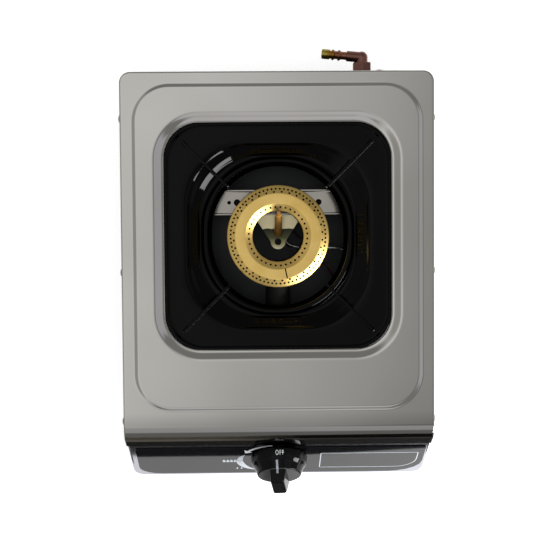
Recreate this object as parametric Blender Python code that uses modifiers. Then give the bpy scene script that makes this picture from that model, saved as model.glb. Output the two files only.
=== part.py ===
# Single-burner table-top gas hob with a pressed steel body, a lift-out drip pan and a brass burner cap.
# Metres, +Z up. The burner's axis is the working origin; the whole part hangs from an empty
# that puts the origin at the bottom centre of its box.

import math

import bmesh
import bpy
from mathutils import Matrix, Vector

# Body
BODY_WIDTH = 0.300
REAR_TO_BURNER = 0.157
BURNER_TO_NOSE = 0.193
PLATE_TOP = 0.100
TRAY_BOTTOM = 0.010
SHEET = 0.0008
GAP = 0.0003
OVERRUN = 0.004
PANEL_SLANT = math.radians(32.0)
PANEL_TILT = math.radians(90.0) - PANEL_SLANT

# Top plate
SKIRT_DEPTH = 0.018
NOSE_RADIUS = 0.018
NOSE_SEGMENTS = 7
PLATE_REAR_CORNER = 0.0105
PLATE_EDGE_BEND = 0.0016
CORNER_SEGMENTS = 5
EMBOSS_SIDE_INSET = 0.012
EMBOSS_REAR_INSET = 0.0133
EMBOSS_FRONT_INSET = 0.0263
EMBOSS_CORNER = 0.038
EMBOSS_STEP = 0.0034
EMBOSS_RISE = 0.002
WELL_HALF = 0.1092
WELL_CORNER = 0.036
WELL_BEVEL = 0.0093
WELL_BEVEL_DROP = 0.004
WELL_LIP = 0.001
WELL_LEDGE = 0.008

# Drip pan: each ring is (share of the way in to the hole, share of the depth, share of the rounding)
PAN_CLEARANCE = 0.0007
PAN_HOLE_HALF_WIDTH = 0.0635
PAN_HOLE_HALF_LENGTH = 0.067
PAN_HOLE_CORNER = 0.062
PAN_CORNER = 0.035
PAN_DEPTH = 0.0131
PAN_RING_SHARES = [
    (0.000, 0.00, 0.00), (0.013, -0.07, 0.00), (0.040, -0.10, 0.00), (0.067, -0.07, 0.00),
    (0.090, 0.00, 0.00), (0.444, 0.00, 0.93), (0.478, 0.08, 0.94), (0.522, 0.39, 1.00),
    (0.567, 0.66, 1.04), (0.622, 0.82, 1.08), (0.678, 0.88, 1.12), (0.744, 0.81, 1.18),
    (0.811, 0.62, 1.22), (0.856, 0.53, 1.19), (0.900, 0.56, 1.15), (0.944, 0.73, 1.09),
    (1.000, 1.00, 1.00),
]
RIDGE_DEPTH_SHARE = 0.53

# Pan supports, on the diagonals of the pan
SUPPORT_END_INSET = 0.0087
SUPPORT_INNER = 0.0655
SUPPORT_THICKNESS = 0.003
SUPPORT_RISE = 0.012
SUPPORT_FOOT = 0.012
SUPPORT_TAB = 0.006
SUPPORT_TAB_DROP = 0.003
SUPPORT_RIDGE_FOOT = 0.008
SUPPORT_ARCH = 0.004
SUPPORT_NOSE = 0.006

# Burner
CAP_OUTER = 0.049
CAP_INNER = 0.0244
CAP_WALL = 0.0024
CAP_FLAT_OUTER = 0.0402
CAP_FLAT_INNER = 0.0318
CAP_RISE = 0.004
CAP_HEIGHT = 0.0117
CAP_OUTER_CHAMFER_DROP = 0.0055
CAP_INNER_CHAMFER_DROP = 0.005
CAP_SEGMENTS = 36
PORT_RADIUS = 0.0009
PORT_ROW_RADII = [0.0453, 0.0424, 0.028]
PORT_ROW_COUNTS = [72, 36, 36]
BODY_HEIGHT = 0.030
BODY_FLANGE = 0.003
BODY_TAPER = 0.004
BODY_FLOOR = 0.004
BODY_WALL = 0.0026
BODY_SEGMENTS = 36
LUG_RADIUS = 0.005
LUG_SPREAD = 0.018

# Mixing tube and its air shutter, on an axis that falls towards the front
MIX_FALL = math.radians(12.0)
MIX_CENTRE_DROP = 0.017
MIX_START = 0.040
TUBE_OUTER = 0.012
TUBE_BORE = 0.0095
TUBE_LENGTH = 0.100
TUBE_MOUTH = 0.0135
TUBE_MOUTH_LENGTH = 0.004
AIR_WINDOW_LENGTH = 0.010
AIR_WINDOW_WIDTH = 0.012
AIR_WINDOW_FROM_MOUTH = 0.012
SHUTTER_WALL = 0.0014
SHUTTER_LENGTH = 0.019

# Bracket across the case
BRACKET_DISTANCE = 0.0326
BRACKET_WIDTH = 0.0245
BRACKET_WEB_TOP = 0.053
BRACKET_HEIGHT = 0.0078
BRACKET_SHEET = 0.0012
BRACKET_BEND = 0.002
BRACKET_HOLE_PLACES = [-0.0473, -0.0394, 0.0413]
BRACKET_HOLE_RADII = [0.0019, 0.0034, 0.0031]

# Pilot parts
PILOT_OFFSET = 0.0008
TONGUE_SHEET = 0.0012
TONGUE_ROOT_HALF = 0.024
TONGUE_TIP_RADIUS = 0.0073
TONGUE_TIP_CENTRE = -0.0064
TONGUE_BEND_LINE = 0.0065
TONGUE_LOW = 0.0585
TONGUE_RISE = 0.0015
TONGUE_TAB = 0.0065
TONGUE_HOLE = 0.0034
NOZZLE_FOOT_Y = 0.0022
NOZZLE_TIP_Y = 0.0224
NOZZLE_TIP_DROP = 0.006
NOZZLE_BODY = 0.0036
NOZZLE_COLLAR = 0.0044
NOZZLE_TIP = 0.0018
NOZZLE_STUB = 0.003
NOZZLE_STUB_DROP = 0.008
ELECTRODE_Y = 0.0135
ELECTRODE_RADIUS = 0.0023
ELECTRODE_COLLAR = 0.0038
ELECTRODE_BELOW = 0.009
ELECTRODE_ABOVE = 0.009
PIN_RADIUS = 0.0007
PILOT_TUBE_RADIUS = 0.0015
PILOT_TUBE_STRAIGHT = 0.003
PILOT_TUBE_ROUTE = [
    (0.004, -0.002, 0.0455), (0.012, -0.0095, 0.0445), (0.024, -0.0127, 0.0445), (0.040, -0.0129, 0.0445),
    (0.056, -0.0131, 0.0445), (0.067, -0.0155, 0.0440), (0.0745, -0.025, 0.0435), (0.077, -0.045, 0.0430),
    (0.076, -0.075, 0.0430), (0.070, -0.105, 0.0440), (0.056, -0.135, 0.0480), (0.036, -0.160, 0.0570),
    (0.018, -0.176, 0.0690),
]
LEAD_RADIUS = 0.0013
LEAD_STRAIGHT = 0.004
LEAD_ROUTE = [
    (0.004, 0.0125, 0.0405), (0.013, 0.006, 0.0375), (0.027, -0.006, 0.0370), (0.040, -0.019, 0.0375),
    (0.051, -0.0325, 0.0380), (0.0575, -0.048, 0.0360), (0.056, -0.070, 0.0320), (0.046, -0.095, 0.0280),
    (0.028, -0.118, 0.0240), (0.004, -0.134, 0.0215), (-0.014, -0.148, 0.0215),
]

# Front panel
PANEL_CORNER = 0.012
PANEL_BEND = 0.003
PANEL_RETURN = 0.0077
PANEL_FLANGE = 0.016
PANEL_TUCK = 0.0115
OVERLAY_THICKNESS = 0.0006
OVERLAY_LEFT_MARGIN = 0.0085
OVERLAY_RIGHT_MARGIN = 0.0045
OVERLAY_BOTTOM_MARGIN = 0.0044
OVERLAY_TOP_MARGIN = 0.0098
OVERLAY_LEFT_CORNER = 0.022
OVERLAY_RIGHT_CORNER = 0.034
OVERLAY_TOP_CORNER = 0.003
OVERLAY_OPENING = 0.0245

# Knob and tap, measured outwards from the panel's face
KNOB_HEIGHT = 0.058
KNOB_STANDOFF = 0.0042
KNOB_SKIRT = 0.0282
KNOB_SKIRT_EDGE = 0.0026
KNOB_DOME = 0.0272
KNOB_DOME_FOOT = 0.0052
KNOB_FACE = 0.0211
KNOB_DEPTH = 0.0186
KNOB_WALL = 0.0026
KNOB_HUB = 0.007
KNOB_GRIP_WIDTH = 0.0142
KNOB_GRIP_LENGTH = 0.041
KNOB_GRIP_REACH = 0.0132
KNOB_GRIP_ROOT = 0.0015
KNOB_GRIP_EDGE = 0.0018
KNOB_GRIP_TAPER_SHARE = 0.81
KNOB_REST_TURN = math.radians(6.0)
CLIP_THICKNESS = 0.0006
CLIP_LENGTH = 0.007
CLIP_SLOT = 0.004
SPINDLE_RADIUS = 0.003
SPINDLE_FIT = 0.00035
TAP_HALF = 0.014
TAP_DEPTH = 0.044
TAP_EAR_HALF_WIDTH = 0.023
TAP_EAR_HALF_HEIGHT = 0.009
TAP_EAR_THICKNESS = 0.005
TAP_COVER = 0.003
TAP_CHAMBER = 0.0083
TAP_CHAMBER_DEPTH = 0.022
PLUG_RADIUS = 0.0059
PLUG_LENGTH = 0.011
PLUG_WALL = 0.0035
COLLAR_RADIUS = 0.0078
COLLAR_THICKNESS = 0.002
COLLAR_DROP = 0.0006
SPRING_RADIUS = 0.0058
SPRING_WIRE = 0.0005
SPRING_TURNS = 6
SPRING_POINTS_A_TURN = 10
OUTLET_RADIUS = 0.008
OUTLET_BORE = 0.005
JET_GAP = 0.012
JET_THREAD = 0.0047
JET_THREAD_LENGTH = 0.009
JET_HEX = 0.0062
JET_HEX_LENGTH = 0.007
JET_TIP = 0.003
JET_TIP_LENGTH = 0.008
TAP_INLET_REACH = 0.010
TAP_INLET_RADIUS = 0.007
TAP_INLET_DEPTH = 0.030
PILOT_BOSS_X = 0.008
PILOT_BOSS_REACH = 0.006
PILOT_BOSS_RADIUS = 0.0038
PILOT_BOSS_DEPTH = 0.016

# Igniter, beside the tap
IGNITER_WIDTH = 0.014
IGNITER_LENGTH = 0.034
IGNITER_FRONT = 0.012
IGNITER_BORE = 0.0046
IGNITER_BORE_DEPTH = 0.026
HAMMER_CLEARANCE = 0.0005
HAMMER_LENGTH = 0.014
HAMMER_INSET = 0.003

# Gas inlet at the rear
INLET_X = 0.0855
INLET_HEIGHT = 0.044
INLET_HEX = 0.0098
INLET_HEX_LENGTH = 0.0135
INLET_SHANK = 0.0065
INLET_SHANK_INSIDE = 0.016
INLET_LEG = 0.0058
INLET_BARB_TILT = math.radians(5.5)
INLET_BARB_Y = 0.0187
BARB_SHOULDER = 0.0052
BARB_BORE = 0.0026
BARB_LENGTH = 0.040
BARB_RING_SHARES = [
    (0.000, 1.00), (0.375, 1.00), (0.376, 0.75), (0.52, 0.75), (0.56, 1.02), (0.585, 1.02), (0.60, 0.77),
    (0.67, 0.77), (0.71, 1.02), (0.735, 1.02), (0.75, 0.78), (0.79, 0.80), (0.81, 0.92), (0.97, 0.94),
    (1.0, 0.86),
]
LOCKNUT_HEX = 0.0105
LOCKNUT_THICKNESS = 0.005
PIPE_RADIUS = 0.004
PIPE_ROUTE = [
    (0.0865, 0.100, 0.0430), (0.088, 0.060, 0.0415), (0.090, 0.020, 0.0400), (0.091, -0.030, 0.0385),
    (0.090, -0.080, 0.0375), (0.084, -0.120, 0.0370), (0.072, -0.150, 0.0370), (0.054, -0.172, 0.0380),
]

# Fasteners, feet and openings in the tray
SIDE_SCREW_DROP = 0.010
SIDE_SCREW_PLACES = [-0.178, -0.034, 0.113]
REAR_SCREW_INSET = 0.0515
SCREW_HEAD = 0.004
SCREW_HEAD_HEIGHT = 0.0014
SCREW_SHANK = 0.0018
SCREW_LENGTH = 0.008
HOLE_FIT = 0.0004
TAP_SCREW_SPREAD = 0.0185
PANEL_SCREW_INSET = 0.050
FOOT_RADIUS = 0.011
FOOT_TOP_RADIUS = 0.009
FOOT_STEM = 0.004
FOOT_BARB = 0.0056
FOOT_SIDE_INSET = 0.030
FOOT_FRONT_INSET = 0.043
FOOT_REAR_INSET = 0.032
TRAY_BACK_FROM_PANEL = 0.008
TRAY_WALL_CLEARANCE = 0.001
VENT_LENGTH = 0.060
VENT_WIDTH = 0.006
VENT_PITCH = 0.020
VENT_COUNT = 3
VENT_INSET = 0.048

# Derived levels
HALF_WIDTH = BODY_WIDTH / 2
LEDGE_TOP = PLATE_TOP + EMBOSS_RISE - WELL_BEVEL_DROP - WELL_LIP
PAN_HALF = WELL_HALF - PAN_CLEARANCE
PAN_BORDER = LEDGE_TOP + GAP + SHEET
PAN_DIAGONAL = (PAN_HALF - PAN_CORNER) * math.sqrt(2) + PAN_CORNER
SUPPORT_OUTER = PAN_DIAGONAL - SUPPORT_END_INSET
CAP_TOP = PLATE_TOP + CAP_RISE
CAP_BOTTOM = CAP_TOP - CAP_HEIGHT
BODY_TOP = CAP_BOTTOM - GAP
BODY_BOTTOM = BODY_TOP - BODY_HEIGHT
TRAY_HALF = HALF_WIDTH - SHEET - GAP
TRAY_WALL_TOP = PLATE_TOP - SHEET - TRAY_WALL_CLEARANCE
PANEL_BOTTOM = TRAY_BOTTOM - GAP - SHEET
SLANT_TAN = math.tan(PANEL_SLANT)
LIP_TO_PANEL = (SHEET + GAP) / math.cos(PANEL_SLANT)
OVERLAY_LEFT = HALF_WIDTH - OVERLAY_LEFT_MARGIN
OVERLAY_RIGHT = HALF_WIDTH - OVERLAY_RIGHT_MARGIN
OVERLAY_ABOVE_KNOB = (PLATE_TOP - SKIRT_DEPTH - KNOB_HEIGHT) / math.cos(PANEL_SLANT) - OVERLAY_TOP_MARGIN
OVERLAY_BELOW_KNOB = (KNOB_HEIGHT - PANEL_BOTTOM) / math.cos(PANEL_SLANT) - OVERLAY_BOTTOM_MARGIN
PANEL_SCREW_X = HALF_WIDTH - PANEL_SCREW_INSET
REAR_SCREW_X = HALF_WIDTH - REAR_SCREW_INSET

scene = bpy.context.scene


def panel_y(height, back=0.0):
    """Distance from the burner of the panel's outer face at a height, or a plane behind it."""
    return -BURNER_TO_NOSE - (PLATE_TOP - height) * SLANT_TAN + LIP_TO_PANEL + back


def clear_scene():
    for old in list(bpy.data.objects):
        bpy.data.objects.remove(old, do_unlink=True)


def make_collection(name):
    group = bpy.data.collections.new(name)
    scene.collection.children.link(group)
    return group


def make_material(name, colour, roughness, metallic):
    material = bpy.data.materials.new(name)
    material.use_nodes = True
    shader = material.node_tree.nodes["Principled BSDF"]
    shader.inputs["Base Color"].default_value = (*colour, 1.0)
    shader.inputs["Roughness"].default_value = roughness
    shader.inputs["Metallic"].default_value = metallic
    material.diffuse_color = (*colour, 1.0)
    return material


clear_scene()
PARTS = make_collection("gas_hob")
CUTTERS = make_collection("gas_hob_cutters")

STAINLESS = make_material("stainless_steel", (0.45, 0.44, 0.42), 0.22, 1.0)
ZINC = make_material("zinc_plated_steel", (0.50, 0.50, 0.48), 0.40, 1.0)
ENAMEL = make_material("black_enamel", (0.006, 0.006, 0.006), 0.12, 0.0)
BRASS = make_material("brass", (0.62, 0.43, 0.15), 0.28, 1.0)
CAST_IRON = make_material("cast_iron", (0.03, 0.03, 0.03), 0.60, 0.6)
PLASTIC = make_material("black_plastic", (0.008, 0.008, 0.008), 0.18, 0.0)
OVERLAY = make_material("grey_overlay", (0.13, 0.13, 0.14), 0.25, 0.0)
RUBBER = make_material("black_rubber", (0.02, 0.02, 0.02), 0.75, 0.0)
CERAMIC = make_material("white_ceramic", (0.80, 0.78, 0.72), 0.35, 0.0)
LEAD = make_material("dark_red_silicone", (0.12, 0.01, 0.01), 0.45, 0.0)
ALUMINIUM = make_material("die_cast_aluminium", (0.55, 0.55, 0.56), 0.45, 1.0)
PASSIVATED = make_material("yellow_passivated_brass", (0.42, 0.22, 0.08), 0.35, 1.0)
CUTTER = make_material("cutter", (0.8, 0.1, 0.1), 0.5, 0.0)


def make_empty(name, location, rotation=(0.0, 0.0, 0.0), parent=None):
    empty = bpy.data.objects.new(name, None)
    PARTS.objects.link(empty)
    empty.location = location
    empty.rotation_euler = rotation
    empty.parent = parent
    return empty


HOB = make_empty("hob", (0.0, 0.0, 0.0))
KNOB_AXIS = make_empty("knob_axis", (0.0, panel_y(KNOB_HEIGHT), KNOB_HEIGHT), (PANEL_TILT, 0.0, 0.0), HOB)
MIX_AXIS = make_empty(
    "mixing_axis",
    (0.0, -MIX_START, BODY_TOP - MIX_CENTRE_DROP),
    (math.radians(90.0) + MIX_FALL, 0.0, 0.0),
    HOB,
)


def add_object(name, mesh, material, parent=None, location=(0.0, 0.0, 0.0), rotation=(0.0, 0.0, 0.0)):
    piece = bpy.data.objects.new(name, mesh)
    PARTS.objects.link(piece)
    piece.parent = parent or HOB
    piece.location = location
    piece.rotation_euler = rotation
    if not mesh.materials:
        mesh.materials.append(material)
    return piece


def as_cutter(piece):
    """Move a helper solid to the cutters' collection, where it isn't drawn or kept."""
    PARTS.objects.unlink(piece)
    CUTTERS.objects.link(piece)
    piece.hide_render = True
    piece.display_type = 'WIRE'
    return piece


def mesh_of(name, bm, smooth=True):
    mesh = bpy.data.meshes.new(name)
    bm.to_mesh(mesh)
    bm.free()
    if smooth:
        mesh.shade_smooth()
        mesh.set_sharp_from_angle(angle=math.radians(35.0))
    return mesh


def solidify(piece, thickness, offset=-1.0):
    wall = piece.modifiers.new("wall", 'SOLIDIFY')
    wall.thickness = thickness
    wall.offset = offset
    wall.use_even_offset = True
    return wall


def bevel(piece, width, segments=2, angle=35.0):
    edge = piece.modifiers.new("edge", 'BEVEL')
    edge.width = width
    edge.segments = segments
    edge.limit_method = 'ANGLE'
    edge.angle_limit = math.radians(angle)
    return edge


def boolean(piece, other, operation='DIFFERENCE'):
    step = piece.modifiers.new(operation.lower(), 'BOOLEAN')
    step.operation = operation
    step.solver = 'EXACT'
    step.object = other
    return step


def box_mesh(name, lower, upper):
    """A box between two corners."""
    bm = bmesh.new()
    bmesh.ops.create_cube(bm, size=1.0)
    lower = Vector(lower)
    upper = Vector(upper)
    size = upper - lower
    bmesh.ops.scale(bm, vec=size, verts=bm.verts)
    bmesh.ops.translate(bm, vec=(lower + upper) / 2, verts=bm.verts)
    return mesh_of(name, bm, smooth=False)


def rod_mesh(name, radius, start, end, segments=16, top_radius=None):
    """A cylinder or cone along Z between two heights; radius is at the start."""
    bm = bmesh.new()
    far = radius if top_radius is None else top_radius
    bmesh.ops.create_cone(
        bm, cap_ends=True, segments=segments, radius1=radius, radius2=far, depth=end - start,
        matrix=Matrix.Translation((0.0, 0.0, (start + end) / 2)),
    )
    return mesh_of(name, bm)


def turned(name, profile, material, parent=None, location=(0.0, 0.0, 0.0), rotation=(0.0, 0.0, 0.0),
           steps=24, closed=False):
    """A turned piece: its profile of (radius, height) points runs down the outer side."""
    bm = bmesh.new()
    points = [bm.verts.new((radius, 0.0, height)) for radius, height in profile]
    for first, second in zip(points, points[1:]):
        bm.edges.new((first, second))
    if closed:
        bm.edges.new((points[-1], points[0]))
    piece = add_object(name, mesh_of(name, bm, smooth=False), material, parent, location, rotation)
    screw = piece.modifiers.new("turn", 'SCREW')
    screw.steps = steps
    screw.render_steps = steps
    screw.use_merge_vertices = True
    screw.merge_threshold = 0.00001
    screw.use_smooth_shade = True
    return piece


def tube(name, points, radius, material, parent=None, resolution=2):
    """A round tube along a smooth curve through the route's points."""
    curve = bpy.data.curves.new(name, 'CURVE')
    curve.dimensions = '3D'
    curve.bevel_depth = radius
    curve.bevel_resolution = resolution
    curve.use_fill_caps = True
    route = smooth_route(points, radius)
    spline = curve.splines.new('POLY')
    spline.points.add(len(route) - 1)
    for point, place in zip(spline.points, route):
        point.co = (*place, 1.0)
    return add_object(name, curve, material, parent)


def smooth_route(points, radius):
    """Points about five radii apart, at most eighty, on a Catmull-Rom curve through the route."""
    route = [Vector(point) for point in points]
    ends = [2 * route[0] - route[1]] + route + [2 * route[-1] - route[-2]]
    length = sum((second - first).length for first, second in zip(route, route[1:]))
    spacing = max(5 * radius, length / 70)
    placed = [route[0]]
    for before, start, finish, after in zip(ends, ends[1:], ends[2:], ends[3:]):
        count = max(1, round((finish - start).length / spacing))
        for index in range(1, count + 1):
            t = index / count
            placed.append(0.5 * (
                2 * start + (finish - before) * t
                + (2 * before - 5 * start + 4 * finish - after) * t * t
                + (3 * start - before - 3 * finish + after) * t ** 3
            ))
    return placed


def sharp_edges(bm, keep=lambda edge: True):
    """Sharp edges that pass a test on their place."""
    return [
        edge for edge in bm.edges
        if len(edge.link_faces) == 2 and edge.calc_face_angle() > math.radians(30.0) and keep(edge)
    ]


def round_edges(bm, edges, radius, segments):
    bmesh.ops.bevel(bm, geom=edges, offset=radius, segments=segments, profile=0.5, affect='EDGES')


def slanted_box(lower, upper, front_at):
    """A box mesh whose front follows a slanted plane; front_at gives its place at a height."""
    bm = bmesh.new()
    bmesh.ops.create_cube(bm, size=1.0)
    for vert in bm.verts:
        x = lower[0] if vert.co.x < 0 else upper[0]
        z = lower[2] if vert.co.z < 0 else upper[2]
        y = front_at(z) if vert.co.y < 0 else upper[1]
        vert.co = (x, y, z)
    return bm


def delete_faces(bm, test):
    bmesh.ops.delete(bm, geom=[face for face in bm.faces if test(face)], context='FACES')


def rounded_ring(bm, half_width, front, rear, corner, height, segments=CORNER_SEGMENTS):
    """The corner points of a rounded rectangle, anticlockwise from its front right corner."""
    centres = [
        (half_width - corner, front + corner, -90.0),
        (half_width - corner, rear - corner, 0.0),
        (corner - half_width, rear - corner, 90.0),
        (corner - half_width, front + corner, 180.0),
    ]
    ring = []
    for x, y, start in centres:
        for index in range(segments + 1):
            angle = math.radians(start + 90.0 * index / segments)
            ring.append(bm.verts.new((x + corner * math.cos(angle), y + corner * math.sin(angle), height)))
    return ring


def bridge_rings(bm, rings):
    """Quads between neighbouring rings of equal count; the first ring is the outermost."""
    for outer, inner in zip(rings, rings[1:]):
        count = len(outer)
        for index in range(count):
            after = (index + 1) % count
            bm.faces.new((outer[index], outer[after], inner[after], inner[index]))


def ring_edges(ring):
    return [
        edge for vert in ring for edge in vert.link_edges
        if edge.other_vert(vert) is ring[(ring.index(vert) + 1) % len(ring)]
    ]


def placed_cutter(name, mesh, parent=None, location=(0.0, 0.0, 0.0), rotation=(0.0, 0.0, 0.0)):
    return as_cutter(add_object(name, mesh, CUTTER, parent, location, rotation))


# Top plate

def build_top_plate():
    nose_bottom = PLATE_TOP - SKIRT_DEPTH
    bm = slanted_box(
        (-HALF_WIDTH, 0.0, nose_bottom), (HALF_WIDTH, REAR_TO_BURNER, PLATE_TOP),
        lambda z: panel_y(z) - LIP_TO_PANEL,
    )
    upright = sharp_edges(bm, keep=lambda e: min(v.co.y for v in e.verts) > 0)
    upright = [e for e in upright if abs(e.verts[0].co.z - e.verts[1].co.z) > GAP]
    round_edges(bm, upright, PLATE_REAR_CORNER, CORNER_SEGMENTS)
    nose = sharp_edges(bm, keep=lambda e: all(
        v.co.y < 0 and abs(v.co.z - PLATE_TOP) < GAP for v in e.verts))
    nose = [e for e in nose if abs(e.verts[0].co.x - e.verts[1].co.x) > GAP]
    round_edges(bm, nose, NOSE_RADIUS * math.tan(PANEL_TILT / 2), NOSE_SEGMENTS)
    rim = sharp_edges(bm, keep=lambda e: max(v.co.z for v in e.verts) > nose_bottom + GAP)
    round_edges(bm, rim, PLATE_EDGE_BEND, 2)
    delete_faces(bm, lambda f: f.normal.z < -0.9)
    top = max((f for f in bm.faces if f.normal.z > 0.999), key=lambda f: f.calc_area())
    border = list(top.edges)
    bmesh.ops.delete(bm, geom=[top], context='FACES_ONLY')

    rear = REAR_TO_BURNER - EMBOSS_REAR_INSET
    front = EMBOSS_FRONT_INSET - BURNER_TO_NOSE
    rings = []
    for share in (0.0, 1 / 3, 2 / 3, 1.0):
        inset = share * EMBOSS_STEP
        rise = EMBOSS_RISE * share * share * (3 - 2 * share)
        rings.append(rounded_ring(
            bm, HALF_WIDTH - EMBOSS_SIDE_INSET - inset, front + inset, rear - inset,
            EMBOSS_CORNER - inset, PLATE_TOP + rise))
    plateau = PLATE_TOP + EMBOSS_RISE
    for share in (0.0, 1 / 6, 5 / 6, 1.0):
        reach = WELL_HALF + WELL_BEVEL * (1 - share)
        drop = WELL_BEVEL_DROP * share * share * (3 - 2 * share)
        rings.append(rounded_ring(
            bm, reach, -reach, reach, WELL_CORNER + WELL_BEVEL * (1 - share), plateau - drop))
    lip = WELL_HALF - GAP
    rings.append(rounded_ring(bm, lip, -lip, lip, WELL_CORNER, LEDGE_TOP))
    ledge = WELL_HALF - WELL_LEDGE
    rings.append(rounded_ring(bm, ledge, -ledge, ledge, WELL_CORNER - WELL_LEDGE, LEDGE_TOP))
    bridge_rings(bm, rings)
    bmesh.ops.triangle_fill(bm, use_beauty=True, use_dissolve=False, edges=border + ring_edges(rings[0]))
    bmesh.ops.recalc_face_normals(bm, faces=bm.faces)
    flat = max(bm.faces, key=lambda f: abs(f.normal.z) * f.calc_area())
    if flat.normal.z < 0:
        bmesh.ops.reverse_faces(bm, faces=bm.faces)
    plate = add_object("top_plate", mesh_of("top_plate", bm), STAINLESS)
    solidify(plate, SHEET)
    boolean(plate, SIDE_HOLES)
    return plate


# Base tray

def build_base_tray():
    bm = slanted_box(
        (-TRAY_HALF, 0.0, TRAY_BOTTOM), (TRAY_HALF, REAR_TO_BURNER - SHEET - GAP, TRAY_WALL_TOP),
        lambda z: panel_y(z, TRAY_BACK_FROM_PANEL),
    )
    rear_uprights = [
        e for e in sharp_edges(bm) if min(v.co.y for v in e.verts) > 0
        and abs(e.verts[0].co.z - e.verts[1].co.z) > GAP
    ]
    round_edges(bm, rear_uprights, PLATE_REAR_CORNER - SHEET - GAP, CORNER_SEGMENTS)
    side_bottoms = [
        e for e in sharp_edges(bm) if max(v.co.z for v in e.verts) < TRAY_BOTTOM + GAP
        and abs(e.verts[0].co.y - e.verts[1].co.y) > 2 * PANEL_CORNER
    ]
    round_edges(bm, side_bottoms, PANEL_CORNER - SHEET - GAP, 4)
    delete_faces(bm, lambda f: f.normal.z > 0.9 or (f.normal.y < -0.5))
    tray = add_object("base_tray", mesh_of("base_tray", bm), ZINC)
    solidify(tray, SHEET)
    boolean(tray, SIDE_HOLES)
    boolean(tray, TRAY_HOLES)
    return tray


def joined_mesh(name, shapes):
    """One cutter mesh made of separate solids, each given as (mesh, matrix)."""
    bm = bmesh.new()
    for mesh, matrix in shapes:
        part = bmesh.new()
        part.from_mesh(mesh)
        bmesh.ops.transform(part, matrix=matrix, verts=part.verts)
        placed = bpy.data.meshes.new(name)
        part.to_mesh(placed)
        part.free()
        bm.from_mesh(placed)
        bpy.data.meshes.remove(placed)
    return mesh_of(name, bm, smooth=False)


def along_x(x, y, z):
    return Matrix.Translation((x, y, z)) @ Matrix.Rotation(math.radians(90.0), 4, 'Y')


def along_y(x, y, z):
    return Matrix.Translation((x, y, z)) @ Matrix.Rotation(math.radians(90.0), 4, 'X')


def build_side_holes():
    """Holes for the side screws and the rear screw, through the skirt and the tray."""
    drill = rod_mesh("side_drill", SCREW_SHANK + HOLE_FIT, -OVERRUN, OVERRUN, 8)
    height = PLATE_TOP - SIDE_SCREW_DROP
    shapes = [
        (drill, along_x(side * HALF_WIDTH, y, height)) for side in (-1, 1) for y in SIDE_SCREW_PLACES
    ]
    shapes.append((drill, along_y(REAR_SCREW_X, REAR_TO_BURNER, height)))
    return placed_cutter("side_holes", joined_mesh("side_holes", shapes))


def build_tray_holes():
    """The inlet's hole, foot holes, bracket and panel screw holes, and the vents in the floor."""
    shapes = []
    inlet = rod_mesh("inlet_drill", INLET_SHANK + HOLE_FIT, -OVERRUN, OVERRUN, 16)
    shapes.append((inlet, along_y(INLET_X, REAR_TO_BURNER, INLET_HEIGHT)))
    small = rod_mesh("tray_drill", SCREW_SHANK + HOLE_FIT, -OVERRUN, OVERRUN, 8)
    for side in (-1, 1):
        shapes.append((small, along_x(side * TRAY_HALF, BRACKET_DISTANCE, bracket_screw_height())))
        shapes.append((small, Matrix.Translation((side * PANEL_SCREW_X, panel_screw_y(), TRAY_BOTTOM))))
    foot = rod_mesh("foot_drill", FOOT_STEM + GAP, -OVERRUN, OVERRUN, 12)
    for x, y in foot_places().values():
        shapes.append((foot, Matrix.Translation((x, y, TRAY_BOTTOM))))
    vent = box_mesh(
        "vent", (-VENT_LENGTH / 2, -VENT_WIDTH / 2, -OVERRUN), (VENT_LENGTH / 2, VENT_WIDTH / 2, OVERRUN))
    for side in (-1, 1):
        for index in range(VENT_COUNT):
            y = (index - (VENT_COUNT - 1) / 2) * VENT_PITCH
            shapes.append((vent, Matrix.Translation((side * (HALF_WIDTH - VENT_INSET), y, TRAY_BOTTOM))))
    return placed_cutter("tray_holes", joined_mesh("tray_holes", shapes))


def bracket_screw_height():
    return BRACKET_WEB_TOP + BRACKET_HEIGHT / 2


def panel_screw_y():
    tray_front = panel_y(TRAY_BOTTOM, TRAY_BACK_FROM_PANEL)
    flange_end = panel_y(PANEL_BOTTOM, PANEL_FLANGE)
    return (tray_front + flange_end) / 2


def foot_places():
    x = HALF_WIDTH - FOOT_SIDE_INSET
    front = panel_y(TRAY_BOTTOM) + FOOT_FRONT_INSET
    rear = REAR_TO_BURNER - FOOT_REAR_INSET
    return {
        "foot_front_left": (-x, front), "foot_front_right": (x, front),
        "foot_rear_left": (-x, rear), "foot_rear_right": (x, rear),
    }


def build_feet():
    top = TRAY_BOTTOM - GAP
    above = TRAY_BOTTOM + SHEET + GAP
    profile = [
        (0.0, above + FOOT_STEM), (FOOT_STEM * 0.6, above + FOOT_STEM), (FOOT_BARB, above + GAP),
        (FOOT_BARB, above), (FOOT_STEM, above), (FOOT_STEM, top), (FOOT_TOP_RADIUS, top),
        (FOOT_RADIUS, SHEET), (FOOT_RADIUS - SHEET, 0.0), (0.0, 0.0),
    ]
    for name, (x, y) in foot_places().items():
        turned(name, profile, RUBBER, location=(x, y, 0.0), steps=14)


# Front panel

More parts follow.
